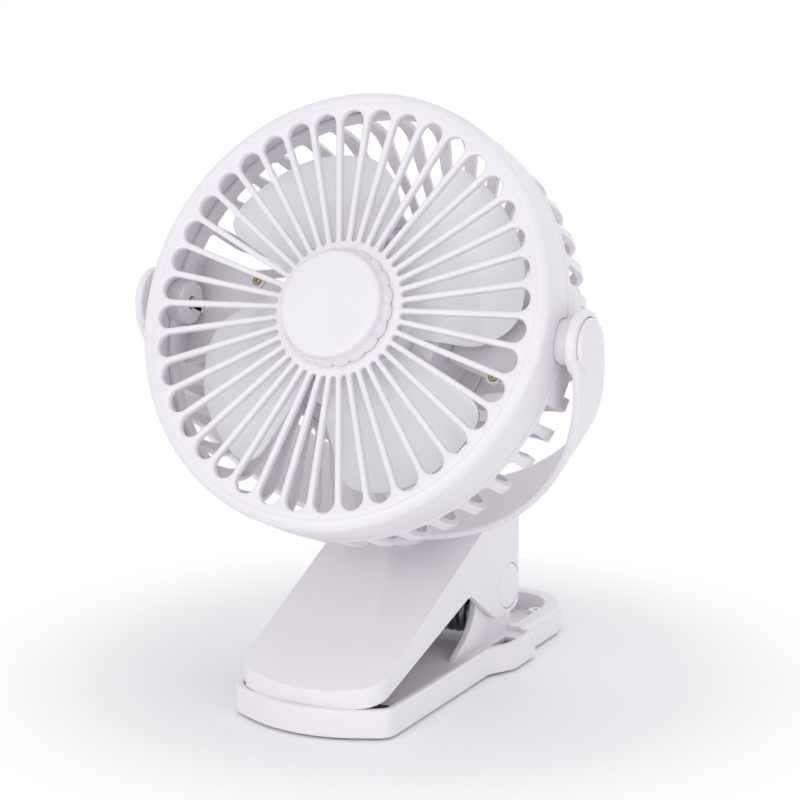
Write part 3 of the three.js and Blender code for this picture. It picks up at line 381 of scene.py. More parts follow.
finishes = {  # by the record's material slots
    "shell_white": mouldedPlastic("shellWhite", (0.81, 0.775, 0.815), (0.84, 0.805, 0.845), 0.33, 0.05),
    "rotor_white": mouldedPlastic("rotorWhite", (0.88, 0.885, 0.905), (0.92, 0.925, 0.94), 0.30, 0.03),
    "rubber_black": rubber("blackRubber"),
    "steel": metal("zincSteel", (0.55, 0.56, 0.58), (0.68, 0.69, 0.70), 0.3),
    "motor_steel": metal("motorCan", (0.45, 0.46, 0.48), (0.58, 0.59, 0.6), 0.38),
    "spring_steel": metal("springWire", (0.26, 0.27, 0.30), (0.40, 0.41, 0.45), 0.3),
    "brass": metal("insertBrass", (0.42, 0.28, 0.13), (0.58, 0.40, 0.20), 0.34),
    "felt": plainFinish("scentFelt", (0.68, 0.66, 0.60), (0.80, 0.78, 0.72), 0.95, 700.0),
    "cell_wrap": plainFinish("cellWrap", (0.03, 0.11, 0.28), (0.05, 0.16, 0.37), 0.35, 60.0),
    "board_green": plainFinish("boardMask", (0.015, 0.09, 0.04), (0.03, 0.14, 0.06), 0.4, 220.0),
    "switch_black": plainFinish("switchBlack", (0.01, 0.01, 0.012), (0.02, 0.02, 0.022), 0.5, 200.0),
    "lens_clear": mouldedPlastic("lensMilk", (0.80, 0.84, 0.82), (0.88, 0.90, 0.89), 0.16, 0.01),
}
nodeSlots = {row["node"]: row["material_slot"] for row in frame["record"]["subparts"]}
for nodeName, node in frame["nodes"].items():
    node.data.materials.clear()
    node.data.materials.append(finishes[nodeSlots[nodeName]])
    for polygon in node.data.polygons:
        polygon.material_index = 0
print("materials made:", len(finishes))


# front grille

grille = {
    "radius": 75.0, "depth": 17.0, "wall": 2.4, "round": 3.2, "bead": 70.7,
    "plateTop": 16.85, "plateThickness": 3.0, "plateEdge": 0.8, "plateInset": 1.0,
    "slots": 40, "slotTurn": -1.1, "slotOuter": 64.7, "slotOuterHalf": 4.0,
    "slotInner": 24.0, "slotInnerHalf": 0.95,
    "hubRing": 22.5, "hubHole": 19.5, "hubFloor": 11.4, "floorThickness": 1.6,
    "notchRadius": 7.8,   # the tilt bosses pass through the band here
}


def slotPoints(angle):
    # a teardrop opening, drawn larger by the width of its rounded edge
    edge = grille["plateEdge"]
    outer, inner = grille["slotOuter"], grille["slotInner"]
    wide = grille["slotOuterHalf"] + edge
    narrow = grille["slotInnerHalf"] + edge
    side = math.pi / 2 + math.asin((wide - narrow) / (outer - inner))
    points = []
    for centre, radius, start, end, steps in ((outer, wide, -side, side, 20),
                                              (inner, narrow, side, 2 * math.pi - side, 8)):
        for k in range(steps + 1):
            a = start + (end - start) * k / steps
            points.append(Vector((centre + radius * math.cos(a), radius * math.sin(a), 0)))
    turn = Matrix.Rotation(angle, 3, "Z")
    return [turn @ p for p in reversed(points)]


def makeSlotPlate():
    edge = grille["plateEdge"]
    curve = bpy.data.curves.new("slotPlate", "CURVE")
    curve.dimensions = "2D"
    curve.fill_mode = "BOTH"
    curve.extrude = grille["plateThickness"] / 2 - edge
    curve.bevel_depth = edge
    curve.bevel_resolution = 2
    rim = grille["radius"] - grille["wall"] - grille["plateInset"] - edge
    addSpline(curve, [(*polar(rim, 3 * k), 0) for k in range(120)], True)
    for k in range(grille["slots"]):
        angle = math.radians(grille["slotTurn"] + 360 * k / grille["slots"])
        addSpline(curve, slotPoints(angle), True)
    plate = shift(meshFromCurve(curve), 0, 0, grille["plateTop"] - grille["plateThickness"] / 2)
    return cleanUp(plate)


def makeFrontGrille():
    g = grille
    inner = g["radius"] - g["wall"]
    top = g["plateTop"]
    bead = g["bead"]
    band = spinRounded("frontGrille", [
        (inner, 0, 0.3), (g["radius"], 0, 0.4), (g["radius"], g["depth"], g["round"]),
        (bead + 0.5, g["depth"], 0.35), (bead + 0.2, top - 0.15, 0.15), (bead, top - 0.15, 0.1),
        (bead, top - g["plateThickness"] + 0.5, 0), (inner, top - g["plateThickness"] - 0.6, 0.8),
    ], 160)
    for side in (-1, 1):   # right through the wall
        carve(band, alongX(rod("notch", g["notchRadius"], inner - 6, g["radius"] + 3, 48), side))
    floor = g["hubFloor"]
    hub = spinRounded("hubRing", [
        (0, floor, 0), (g["hubRing"], floor, 1.0), (g["hubRing"], g["depth"], 0.6),
        (g["hubHole"], g["depth"], 0.3), (g["hubHole"], floor + g["floorThickness"], 0.3),
        (0, floor + g["floorThickness"], 0),
    ], 120)
    joinPieces(band, makeSlotPlate(), hub)
    settle(band, headPlace, "head", "shell_white", ["front_ring", "front_grille"])


makeFrontGrille()
print("front grille made")


# hub cap

hubCap = {
    "base": 17.3, "top": 23.3, "baseRadius": 20.4, "faceRadius": 17.9, "scallops": 20, "scallopDepth": 0.9,
    "hollow": 16.6, "lid": 1.8, "spigotInner": 16.9, "spigotOuter": 18.6, "spigotBack": 13.8,
}


def makeHubCap():
    c = hubCap
    layers = [  # (radius, share of the scallop's depth, height)
        (c["baseRadius"] - 0.25, 1.0, c["base"]), (c["baseRadius"], 1.0, c["base"] + 0.3),
        (c["baseRadius"] - 0.15, 1.0, c["base"] + 1.0), (c["baseRadius"] - 0.7, 0.9, c["base"] + 1.9),
        (c["faceRadius"] + 1.1, 0.6, c["base"] + 2.7), (c["faceRadius"] + 0.75, 0.25, c["base"] + 3.4),
        (c["faceRadius"] + 0.55, 0.0, c["base"] + 4.1), (c["faceRadius"] + 0.35, 0.0, c["top"] - 1.0),
        (c["faceRadius"] + 0.1, 0.0, c["top"] - 0.5), (c["faceRadius"] - 0.35, 0.0, c["top"] - 0.15),
        (c["faceRadius"] - 0.9, 0.0, c["top"]), (c["faceRadius"] - 3.0, 0.0, c["top"]),
    ]
    bpy.ops.object.select_all(action="DESELECT")
    bpy.ops.mesh.primitive_circle_add(vertices=16 * c["scallops"], radius=1, fill_type="NGON")
    cap = bpy.context.object
    cap.name = "hubCap"
    bpy.ops.object.mode_set(mode="EDIT")
    bpy.ops.mesh.select_all(action="SELECT")
    for k in range(len(layers) - 1):
        bpy.ops.mesh.extrude_region_move(TRANSFORM_OT_translate={"value": (0, 0, 1)})
    bpy.ops.object.mode_set(mode="OBJECT")
    for vertex in cap.data.vertices:
        radius, share, height = layers[round(vertex.co.z)]
        angle = math.atan2(vertex.co.y, vertex.co.x)
        wave = abs(math.cos(angle * c["scallops"] / 2)) ** 0.7
        radius -= c["scallopDepth"] * share * (1 - wave)
        vertex.co = (radius * math.cos(angle), radius * math.sin(angle), height)
    cleanUp(cap)
    carve(cap, rod("capHollow", c["hollow"], c["base"] - 1, c["top"] - c["lid"], 64))
    joinPieces(cap, spinProfile("capSpigot", [
        (c["spigotInner"], c["spigotBack"]), (c["spigotOuter"], c["spigotBack"]),
        (c["spigotOuter"], c["base"] + 0.4), (c["spigotInner"], c["base"] + 0.4)], 96))
    settle(cap, headPlace, "cap", "shell_white", ["hub_cap"])


makeHubCap()
print("hub cap made")


# rear shell

rear = {
    "radius": 75.0, "wall": 2.4, "flange": 3.0, "seam": 0.3, "spigot": 3.0, "spigotWall": 1.7,
    "ribs": 40, "ribThickness": 2.2, "swirl": 14.0, "swirlFrom": 69.0, "swirlLead": 4.0,
    "gapStart": 0.9, "gapOuterHalf": 4.2, "gapInnerHalf": 1.96, "gapEnd": 0.6,
    "ringInner": 38.6, "ringOuter": 41.4, "ringBack": -26.2, "ringFront": -23.5,
    "drum": 31.0, "drumFront": 0.8, "drumWall": 2.0, "drumFace": 2.4,
    "pod": 37.0, "podWall": 2.2, "podStart": -23.0, "podFloor": -26.0, "coverInside": -46.6,
    "webHalf": 16.0, "webTop": -10.0, "webThickness": 3.0, "wallTop": -2.8,
    "bossRadius": 7.5, "bossBore": 2.3, "bossLength": 6.0, "bossEnd": 78.9, "gussetHalf": 1.5,
    "shaftHole": 4.0,
    "postReach": 49.6, "postAngle": -14.2, "postTop": -9.0, "postRadius": 3.0, "postBore": 1.8,
}
cageLine = [  # (radius, height) down the side of the cage and in to its inner ring
    (73.2, -2.4), (73.3, -11), (72.7, -18.5), (69.8, -23.8), (62.5, -25.7), (52, -25.7), (40.6, -24.9)]


def cageRows():
    # (place on the cage line, half the opening beside the rib), closer where the openings round off
    r = rear
    fine = 300
    line = [smoothLine(cageLine, k / fine) for k in range(fine + 1)]
    runs = [0.0]
    for here, there in zip(line, line[1:]):
        runs.append(runs[-1] + (there - here).length)
    start, end = r["gapStart"], runs[-1] - r["gapEnd"]
    wide, narrow = r["gapOuterHalf"], r["gapInnerHalf"]
    rows = [(0, 0), (start, 0)]
    archSteps, straightSteps, endSteps = 6, 16, 4
    for k in range(1, archSteps + 1):
        a = math.pi / 2 * k / archSteps
        rows.append((start + wide * (1 - math.cos(a)), wide * math.sin(a)))
    first, last = start + wide, end - narrow
    for k in range(1, straightSteps + 1):
        rows.append((first + (last - first) * k / straightSteps, wide + (narrow - wide) * k / straightSteps))
    for k in range(1, endSteps + 1):
        a = math.pi / 2 * k / endSteps
        rows.append((last + narrow * math.sin(a), narrow * math.cos(a)))
    rows.append((runs[-1], 0))
    placed = []
    for run, gap in rows:
        i = max(k for k in range(len(runs)) if runs[k] <= run + 1e-6)
        placed.append((line[i], gap))
    return placed


def makeCage():
    # one rib with half of the opening on either side, copied round and merged, then given its thickness
    r = rear
    rows = cageRows()
    rib = drawGrid("cage", len(rows) - 1, 6)
    pitch = math.radians(360 / r["ribs"])
    swirlLength = 2 * (r["swirlFrom"] - r["ringOuter"])
    for vertex in rib.data.vertices:
        spot, gap = rows[round((vertex.co.x + 1) / 2 * (len(rows) - 1))]
        inwards = smoothStep(r["swirlFrom"] - spot.x, -r["swirlLead"], swirlLength) * 2
        half = pitch / 2 - gap / spot.x
        turn = pitch / 2 - math.radians(r["swirl"]) * inwards + vertex.co.y * half
        vertex.co = (spot.x * math.cos(turn), spot.x * math.sin(turn), spot.y)
    joinPieces(rib, *[copyTurned(rib, 360 * k / r["ribs"]) for k in range(1, r["ribs"])])
    cleanUp(rib, 0.02)
    thicken(rib, r["ribThickness"], True)
    return bevelEdges(rib, 0.5, 3, 50)


def makeSector(name, inner, outer, half, low, high, turn):
    steps = 12
    outline = [polar(outer, turn - half + 2 * half * k / steps) for k in range(steps + 1)]
    outline += [polar(inner, turn + half - 2 * half * k / steps) for k in range(steps + 1)]
    return bevelEdges(extrudeOutline(name, outline, low, high), 0.5, 2, 50)


def makeRearShell():
    r = rear
    inner = r["radius"] - r["wall"]
    shell = spinRounded("rearShell", [
        (inner - r["spigotWall"], -r["flange"], 0.6), (r["radius"], -r["flange"], 0.7),
        (r["radius"], -r["seam"], 0.3), (inner - 0.05, -r["seam"], 0),
        (inner - 0.05, r["spigot"], 0.3), (inner - r["spigotWall"], r["spigot"], 0.3),
    ], 160)
    ring = spinRounded("innerRing", [
        (r["ringInner"], r["ringBack"], 0.6), (r["ringOuter"], r["ringBack"], 0.8),
        (r["ringOuter"], r["ringFront"], 0.8), (r["ringInner"], r["ringFront"], 0.6)], 128)
    webs = []
    low = r["webTop"] - r["webThickness"]
    for turn in (0, 180):
        webs.append(makeSector("web", r["drum"] + 0.1, inner + 0.6, r["webHalf"], low, r["webTop"], turn))
        webs.append(makeSector("wall", inner, r["radius"] - 0.4, r["webHalf"], low, r["wallTop"], turn))
    bosses = []
    start = inner - r["bossLength"]
    for side in (-1, 1):
        bosses.append(alongX(spinRounded("boss", [
            (r["bossBore"], start, 0), (r["bossRadius"], start, 0.5),
            (r["bossRadius"], r["bossEnd"], 0.6), (r["bossBore"], r["bossEnd"], 0)], 64), side))
        near, far = sorted((side * start, side * (inner + 0.5)))
        bosses.append(block("gusset", (near, -r["gussetHalf"], r["webTop"] - 0.4), (far, r["gussetHalf"], 0)))
        post = spinRounded("post", [
            (r["postBore"], r["webTop"] - 1, 0), (r["postRadius"], r["webTop"] - 1, 0),
            (r["postRadius"], r["postTop"], 0.4), (r["postBore"], r["postTop"], 0.2)], 48)
        bosses.append(shift(post, *polar(r["postReach"], r["postAngle"] + (0 if side > 0 else 180)), 0))
    joinPieces(shell, makeCage(), ring, *webs, *bosses)
    settle(shell, headPlace, "head", "shell_white", ["rear_shell"])


def makeMotorPod():
    r = rear
    drumIn, podIn = r["drum"] - r["drumWall"], r["pod"] - r["podWall"]
    shoulder, end = r["ringInner"] - 0.1, r["coverInside"] + r["seam"]
    pod = spinRounded("motorPod", [
        (0, r["drumFront"] - r["drumFace"], 0), (drumIn, r["drumFront"] - r["drumFace"], 0.5),
        (drumIn, r["podFloor"], 0), (podIn, r["podFloor"], 0.5), (podIn, end, 0),
        (r["pod"], end, 0.3), (r["pod"], r["podFloor"], 0.5),
        (shoulder, r["podFloor"], 0.5), (shoulder, r["podStart"], 0.8),
        (r["drum"], r["podStart"], 0.8), (r["drum"], r["drumFront"], 1.4), (0, r["drumFront"], 0),
    ], 128)
    carve(pod, rod("shaftHole", r["shaftHole"], -4, 2, 32))
    settle(pod, headPlace, "head", "shell_white", ["motor_pod"])


makeRearShell()
makeMotorPod()
print("rear shell and motor pod made")


# rotor

rotor = {
    "blades": 4, "leadingEdge": 65.0, "hub": 22.5, "front": 10.5, "back": 1.2, "wall": 1.6,
    "face": 2.0, "boss": 4.2, "bore": 1.5, "rootDepth": 1.4, "bladeThickness": 1.2,
    "rise": 6.0, "riseAtHub": 1.5, "riseEnds": 40.0,   # the leading edge
    "dip": -7.6, "dipInside": 2.2, "dipFrom": 31.5, "dipTo": 45.0,   # the trailing edge, clear of the drum
}
bladeLine = [  # (degrees behind the leading edge, radius of the blade's outline)
    (0, 50), (0.4, 56), (3, 60), (8, 61.7), (15, 62), (23, 62), (31, 62), (39, 61.2), (47, 59.8),
    (54, 58), (59, 55.6), (63, 52), (67, 46.5), (70, 42), (72, 38), (74.5, 30), (77, 22.5)]


def makeBlade(lead):
    o = rotor
    blade = drawGrid("blade", 20, 72)
    root = o["hub"] - o["rootDepth"]
    for vertex in blade.data.vertices:
        back, tip = smoothLine(bladeLine, (vertex.co.y + 1) / 2)
        radius = root + (tip - root) * (vertex.co.x + 1) / 2
        share = back / bladeLine[-1][0]
        low = o["dipInside"] + (o["dip"] - o["dipInside"]) * smoothStep(radius, o["dipFrom"], o["dipTo"])
        high = o["rise"] + o["riseAtHub"] * (1 - smoothStep(radius, root, o["riseEnds"]))
        height = high + (low - high) * (0.8 * share + 0.2 * share * share)   # a slight camber
        angle = math.radians(lead - back)
        vertex.co = (radius * math.cos(angle), radius * math.sin(angle), height)
    cleanUp(blade)
    thicken(blade, o["bladeThickness"])
    return bevelEdges(blade, 0.4, 3, 50)


def makeRotor():
    o = rotor
    hub = spinRounded("fanRotor", [
        (o["hub"] - o["wall"], o["back"], 0.2), (o["hub"], o["back"], 0.3), (o["hub"], o["front"], 1.8),
        (0, o["front"], 0), (0, o["front"] - o["face"], 0),
        (o["hub"] - o["wall"], o["front"] - o["face"], 0.8),
    ], 128)
    boss = spinRounded("rotorBoss", [
        (o["bore"], o["back"] + 0.4, 0), (o["boss"], o["back"] + 0.4, 0.3),
        (o["boss"], o["front"] - 1, 0), (o["bore"], o["front"] - 1, 0)], 48)
    blades = [makeBlade(o["leadingEdge"] + 360 * k / o["blades"]) for k in range(o["blades"])]
    joinPieces(hub, boss, *blades)
    settle(hub, headPlace, "fan_rotor", "rotor_white", ["rotor"])


makeRotor()
print("rotor made")


# yoke

yoke = {
    "radius": 84.0, "thickness": 2.6, "frontTop": 10.9, "frontLow": 12.4, "backTop": 11.0, "backLow": 20.0,
    "wideTo": 35.0, "narrowFrom": 82.0,   # degrees up from the swivel
    "disc": 11.2, "discThickness": 3.5, "discOutside": 83.5, "discWell": 1.6, "screwWell": 4.2, "bore": 2.3,
    "cover": 8.6, "coverProud": 1.5, "coverStem": 4.5,
    "boss": 9.0, "bossHeight": 2.0, "shaft": 6.0, "stubEnd": -93.4,
}


def makeYoke():
    y = yoke
    middle = y["radius"] - y["thickness"] / 2
    band = drawGrid("yokeBand", 120, 12)
    for vertex in band.data.vertices:
        angle = vertex.co.x * math.pi / 2
        narrow = smoothStep(abs(math.degrees(angle)), y["wideTo"], y["narrowFrom"])
        back = y["backLow"] + (y["backTop"] - y["backLow"]) * narrow
        front = y["frontLow"] + (y["frontTop"] - y["frontLow"]) * narrow
        across = -front + (back + front) * (vertex.co.y + 1) / 2
        vertex.co = (middle * math.sin(angle), across, -middle * math.cos(angle))
    thicken(band, y["thickness"])
    bevelEdges(band, 0.9, 4, 50)
    inside = y["discOutside"] - y["discThickness"]
    floor = y["discOutside"] - y["discWell"]
    recess, wellFloor = y["cover"] + 0.3, inside + 1.2
    extras = []
    for side in (-1, 1):
        extras.append(alongX(spinRounded("armDisc", [
            (y["bore"], inside, 0), (y["disc"], inside, 0.9), (y["disc"], y["discOutside"], 1.7),
            (recess, y["discOutside"], 0.25), (recess, floor, 0.2), (y["screwWell"], floor, 0.1),
            (y["screwWell"], wellFloor, 0), (y["bore"], wellFloor, 0)], 96), side))
    bottom, inBand = -y["radius"] - y["bossHeight"], -y["radius"] + 2.0
    extras.append(spinRounded("swivelBoss", [
        (0, y["stubEnd"], 0), (y["shaft"], y["stubEnd"], 0.4), (y["shaft"], bottom, 0.2),
        (y["boss"], bottom, 0.6), (y["boss"], inBand, 0.4), (0, inBand, 0)], 72))
    joinPieces(band, *extras)
    settle(band, yokePlace, "yoke_arm", "shell_white", ["yoke"])


def makeArmCover(side, node):
    y = yoke
    seat = y["discOutside"] - y["discWell"] + 0.3
    face = y["discOutside"] + y["coverProud"]
    hollow = face - 1.4
    cover = spinRounded("armCover" + ("Right" if side > 0 else "Left"), [
        (0, hollow, 0), (y["coverStem"], hollow, 0), (y["coverStem"], seat, 0), (y["cover"], seat, 0.2),
        (y["cover"], face - 0.1, 1.1), (4.0, face, 3.0), (0, face, 0)], 96)
    settle(alongX(cover, side), yokePlace, "yoke_arm", "shell_white", [node])


makeYoke()
makeArmCover(1, "yoke_cap_right")
makeArmCover(-1, "yoke_cap_left")
print("yoke made")


# lower jaw

tray = {
    "length": 157.0, "nose": 78.2, "width": 61.0, "height": 10.5, "wall": 2.6, "floor": 2.0, "step": 0.6,
    "rim": 2.6, "rimDepth": 1.6, "noseRadius": 46.0, "noseSlope": 26.8, "noseCorner": 7.0,
    "lobeWidth": 72.0, "lobeFront": 18.0, "lobeRamp": 5.0, "lobeBack": 5.0,
    "tailWidth": 63.4, "tailCorner": 20.0, "pocketDepth": 6.5, "pocketWall": 6.0,
    "pegAcross": 23.0, "pegFromEnd": 19.0, "peg": 3.0, "pegBore": 1.1, "pegDrop": 1.5,
    "ribAcross": 9.0, "ribHalf": 0.8, "ribHeight": 3.5,
    "holeFromEdge": 6.8, "holeHalf": 2.2, "holeFront": 15.0, "holeBack": 3.0,
    "soleThickness": 2.1, "soleDepth": 2.4, "padInset": 1.4, "padThickness": 0.7,
}
pinY, pinZ = pinCentre.y / mm, pinCentre.z / mm
beyond, outside = 120, 60   # past either end and either side of the clip
coil = {
    "y": pinY - 8.7, "z": pinZ - 8.7, "radius": 8.0, "wire": 1.15, "turns": 13, "pitch": 2.85,
    "legOut": 270, "legIn": 135, "lowerLeg": 15.0, "upperLeg": 21.0,
    "arbor": 4.8, "arborBore": 3.3, "stub": 3.0, "stubFrom": 5.0, "stubTo": 2.0,
    "seatFrom": 9.0, "seatTo": 14.0, "seatDrop": 8.2,
}
jaw = {
    "width": 54.0, "wall": 2.2, "bite": 0.5, "lip": 4.8, "setback": 3.0, "edge": 2.5,
    "lipRadius": 60.0, "lipSlope": 20.0, "lipCorner": 9.0, "lipDrop": 1.4,
    "rise": 17.0, "back": 9.8, "lobe": 9.7, "lobeFront": 10.5, "notch": 31.1,
    "pinHole": 2.8, "capRadius": 8.4, "capThickness": 1.1, "capRecess": 1.4, "swivelHole": 6.5,
    "swivelHoleLow": -96.0, "swivelHoleTop": -80.0,
    "collar": 10.0, "collarBore": 6.3, "collarLow": -89.6, "collarTop": -86.3,
    "padLength": 26.0, "lowerPadLength": 14.0, "ear": 2.6, "earGap": 0.5,
}
earFront = {   # ahead of the pin
    "foot": 39.2, "bend": 26.5, "bendRise": 7.5, "waist": 22.0, "waistDrop": 4.9, "top": 19.9,
}
lipY = -tray["length"] / 2 + jaw["setback"]
lipBottom = tray["height"] + jaw["bite"]
earOut = jaw["width"] / 2 - jaw["wall"] - jaw["earGap"]


def mirroredCorners(right):
    return right + [(-x, y, r) for x, y, r in reversed(right)]


def trayCorners():
    t = tray
    slope = math.radians(t["noseSlope"])
    apex = -t["nose"] - t["noseRadius"] * (1 / math.cos(slope) - 1)
    shoulder = apex + t["width"] / 2 * math.tan(slope)
    lobeEnd = pinY + t["lobeBack"]
    return [(0, apex, t["noseRadius"])] + mirroredCorners([
        (t["width"] / 2, shoulder, t["noseCorner"]),
        (t["width"] / 2, pinY - t["lobeFront"] - t["lobeRamp"], 6),
        (t["lobeWidth"] / 2, pinY - t["lobeFront"] + t["lobeRamp"], 10),
        (t["lobeWidth"] / 2, lobeEnd, 2),
        (t["tailWidth"] / 2, lobeEnd, 1),
        (t["tailWidth"] / 2, t["length"] / 2, t["tailCorner"]),
    ])


def clipped(name, outline, low, high, yLow, yHigh):
    # an extruded outline, kept between two Y values
    piece = extrudeOutline(name, outline, low, high)
    limit = block("limit", (-outside, yLow, low - 1), (outside, yHigh, high + 1))
    return combine(piece, limit, "INTERSECT")


def atPin(piece, side=1):
    return shift(alongX(piece, side), 0, pinY, pinZ)


def makePinDrill():
    return atPin(rod("pinHole", jaw["pinHole"], -outside, outside, 40))


def earOutline():
    # a round top behind, and a front edge that sweeps forward to its foot
    e = earFront
    foot = tray["height"] - tray["rimDepth"] - 0.4
    top = jaw["back"] - jaw["wall"] - jaw["earGap"]
    return rounded([
        (pinY - e["foot"], foot, 0), (pinY + top, foot, 0), (pinY + top, pinZ + top, top - 0.1),
        (pinY - e["top"], pinZ + top, 5), (pinY - e["waist"], pinZ - e["waistDrop"], 6),
        (pinY - e["bend"], foot + e["bendRise"], 15)], 0, 8)


def makeLowerJaw():
    t = tray
    corners = trayCorners()
    bed = t["height"] - t["rimDepth"]
    pocketFloor = t["height"] - t["pocketDepth"]
    lobeEnd = pinY + t["lobeBack"]
    body = extrudeOutline("lowerJaw", rounded(corners, 0, 5), t["step"], t["height"])
    bevelEdges(body, 1.3, 4, 50)
    carve(
        body,
        clipped("bed", rounded(corners, t["rim"], 6), bed, t["height"] + 1, -beyond, lobeEnd),
        clipped("pocket", rounded(corners, t["pocketWall"], 6), pocketFloor, t["height"] + 1,
                lobeEnd + 3, beyond),
        extrudeOutline("soleHollow", rounded(corners, t["wall"], 6), 0, t["soleDepth"]),
        clipped("hollow", rounded(corners, t["wall"], 6), 0, bed - t["floor"], -beyond, lobeEnd),
    )
    for side in (-1, 1):
        x, half = side * (t["lobeWidth"] / 2 - t["holeFromEdge"]), t["holeHalf"]
        carve(body, block("lobeHole", (x - half, pinY - t["holeFront"], bed - t["floor"] - 1),
                          (x + half, pinY - t["holeBack"], t["height"] + 1)))
    bevelEdges(body, 0.35, 2, 60)
    extras = []
    for side in (-1, 1):
        left, right = sorted((side * (earOut - jaw["ear"]), side * earOut))
        ear = extrudeSideways("ear", earOutline(), left, right)
        carve(ear, makePinDrill())
        extras.append(bevelEdges(ear, 0.5, 3, 50))
        # a stub on the inner face carries the arbor
        stub = rod("stub", coil["stub"], earOut - coil["stubFrom"], earOut - coil["stubTo"], 40)
        extras.append(shift(alongX(stub, side), 0, coil["y"], coil["z"]))
        x, half, foot = side * t["ribAcross"], t["ribHalf"], pocketFloor - 0.4
        rib = block("rib", (x - half, lobeEnd + 2, foot),
                    (x + half, t["length"] / 2 - t["pocketWall"] + 0.4, pocketFloor + t["ribHeight"]))
        extras.append(bevelEdges(rib, 0.3, 2))
        top = t["height"] - t["pegDrop"]
        peg = spinRounded("peg", [
            (t["pegBore"], foot, 0), (t["peg"], foot, 0), (t["peg"], top, 0.4), (t["pegBore"], top, 0.2)], 48)
        extras.append(shift(peg, side * t["pegAcross"], t["length"] / 2 - t["pegFromEnd"], 0))
    seatX = -coil["turns"] * coil["pitch"] / 2   # the spring's lower leg rests here
    extras.append(block("legSeat", (seatX - 3, coil["y"] + coil["seatFrom"], bed - 0.4),
                        (seatX + 1.5, coil["y"] + coil["seatTo"], coil["z"] - coil["seatDrop"])))
    joinPieces(body, *extras)
    settle(body, clipPlace, "base", "shell_white", ["lower_jaw"])


def makeSole():
    sole = extrudeOutline("baseSole", rounded(trayCorners(), tray["wall"] + 0.3, 5), 0, tray["soleThickness"])
    bevelEdges(sole, 0.4, 2, 50)
    settle(sole, clipPlace, "base", "rubber_black", ["base_sole"])


def makeLowerPad():
    t = tray
    bottom = t["height"] - t["rimDepth"] + 0.1
    pad = clipped("lowerJawPad", rounded(trayCorners(), t["rim"] + t["padInset"], 5), bottom,
                  bottom + t["padThickness"], -beyond, lipY + jaw["lowerPadLength"])
    bevelEdges(pad, 0.3, 2, 50)
    settle(pad, clipPlace, "base", "rubber_black", ["lower_jaw_pad"])


makeLowerJaw()
makeSole()
makeLowerPad()
print("lower jaw made")


# spring and its arbor

def makeSpring():
    c = coil
    mean = c["radius"] - c["wire"]
    total = c["turns"] + (c["legOut"] - c["legIn"]) / 360
    steps = round(total * 28)
    half = total * c["pitch"] / 2
    path = [Vector((-half, c["y"] + c["lowerLeg"], c["z"] - mean)),
            Vector((-half, c["y"] + 4, c["z"] - mean))]
    for k in range(steps + 1):
        angle = math.radians(c["legOut"] - 360 * total * k / steps)
        path.append(Vector((-half + 2 * half * k / steps,
                            c["y"] + mean * math.cos(angle), c["z"] + mean * math.sin(angle))))
    upward = Vector((0, math.sqrt(0.5), math.sqrt(0.5)))
    path += [path[-1] + upward * 5, path[-1] + upward * c["upperLeg"]]
    curve = bpy.data.curves.new("jawSpring", "CURVE")
    curve.dimensions = "3D"
    curve.bevel_depth = c["wire"]
    curve.bevel_resolution = 3
    curve.use_fill_caps = True
    addSpline(curve, path, False)
    spring = cleanUp(meshFromCurve(curve), 0.001)
    settle(spring, clipPlace, "base", "spring_steel", ["jaw_spring"], 60)


def makeArbor():
    half = earOut - jaw["ear"] - 0.3
    arbor = alongX(spinRounded("springArbor", [
        (coil["arborBore"], -half, 0), (coil["arbor"], -half, 0.4), (coil["arbor"], half, 0.4),
        (coil["arborBore"], half, 0)], 64))
    shift(arbor, 0, coil["y"], coil["z"])
    settle(arbor, clipPlace, "base", "shell_white", ["spring_arbor"])


makeSpring()
makeArbor()
print("spring made")


# upper jaw

def deckAt(y):
    return lipBottom + jaw["lip"] + (y - lipY) * math.tan(lean)


def undersideAt(y):
    return lipBottom - jaw["lipDrop"] + (y - lipY) * math.tan(math.radians(jaw["rise"]))


def jawPlan():
    slope = math.radians(jaw["lipSlope"])
    apex = lipY - jaw["lipRadius"] * (1 / math.cos(slope) - 1)
    shoulder = apex + jaw["width"] / 2 * math.tan(slope)
    return rounded([(0, apex, jaw["lipRadius"])] + mirroredCorners([
        (jaw["width"] / 2, shoulder, jaw["lipCorner"]), (jaw["width"] / 2, pinY + jaw["back"], 3)]), 0, 5)


def jawSide():
    ahead, back, lobe = lipY - 6, pinY + jaw["back"], pinZ - jaw["lobe"]
    notch = pinY - jaw["notch"]
    return rounded([
        (ahead, undersideAt(ahead), 0), (notch, undersideAt(notch), 4), (pinY - jaw["lobeFront"], lobe, 14),
        (back, lobe, 8), (back, deckAt(back), 9), (ahead, deckAt(ahead), 0)], 0, 5)


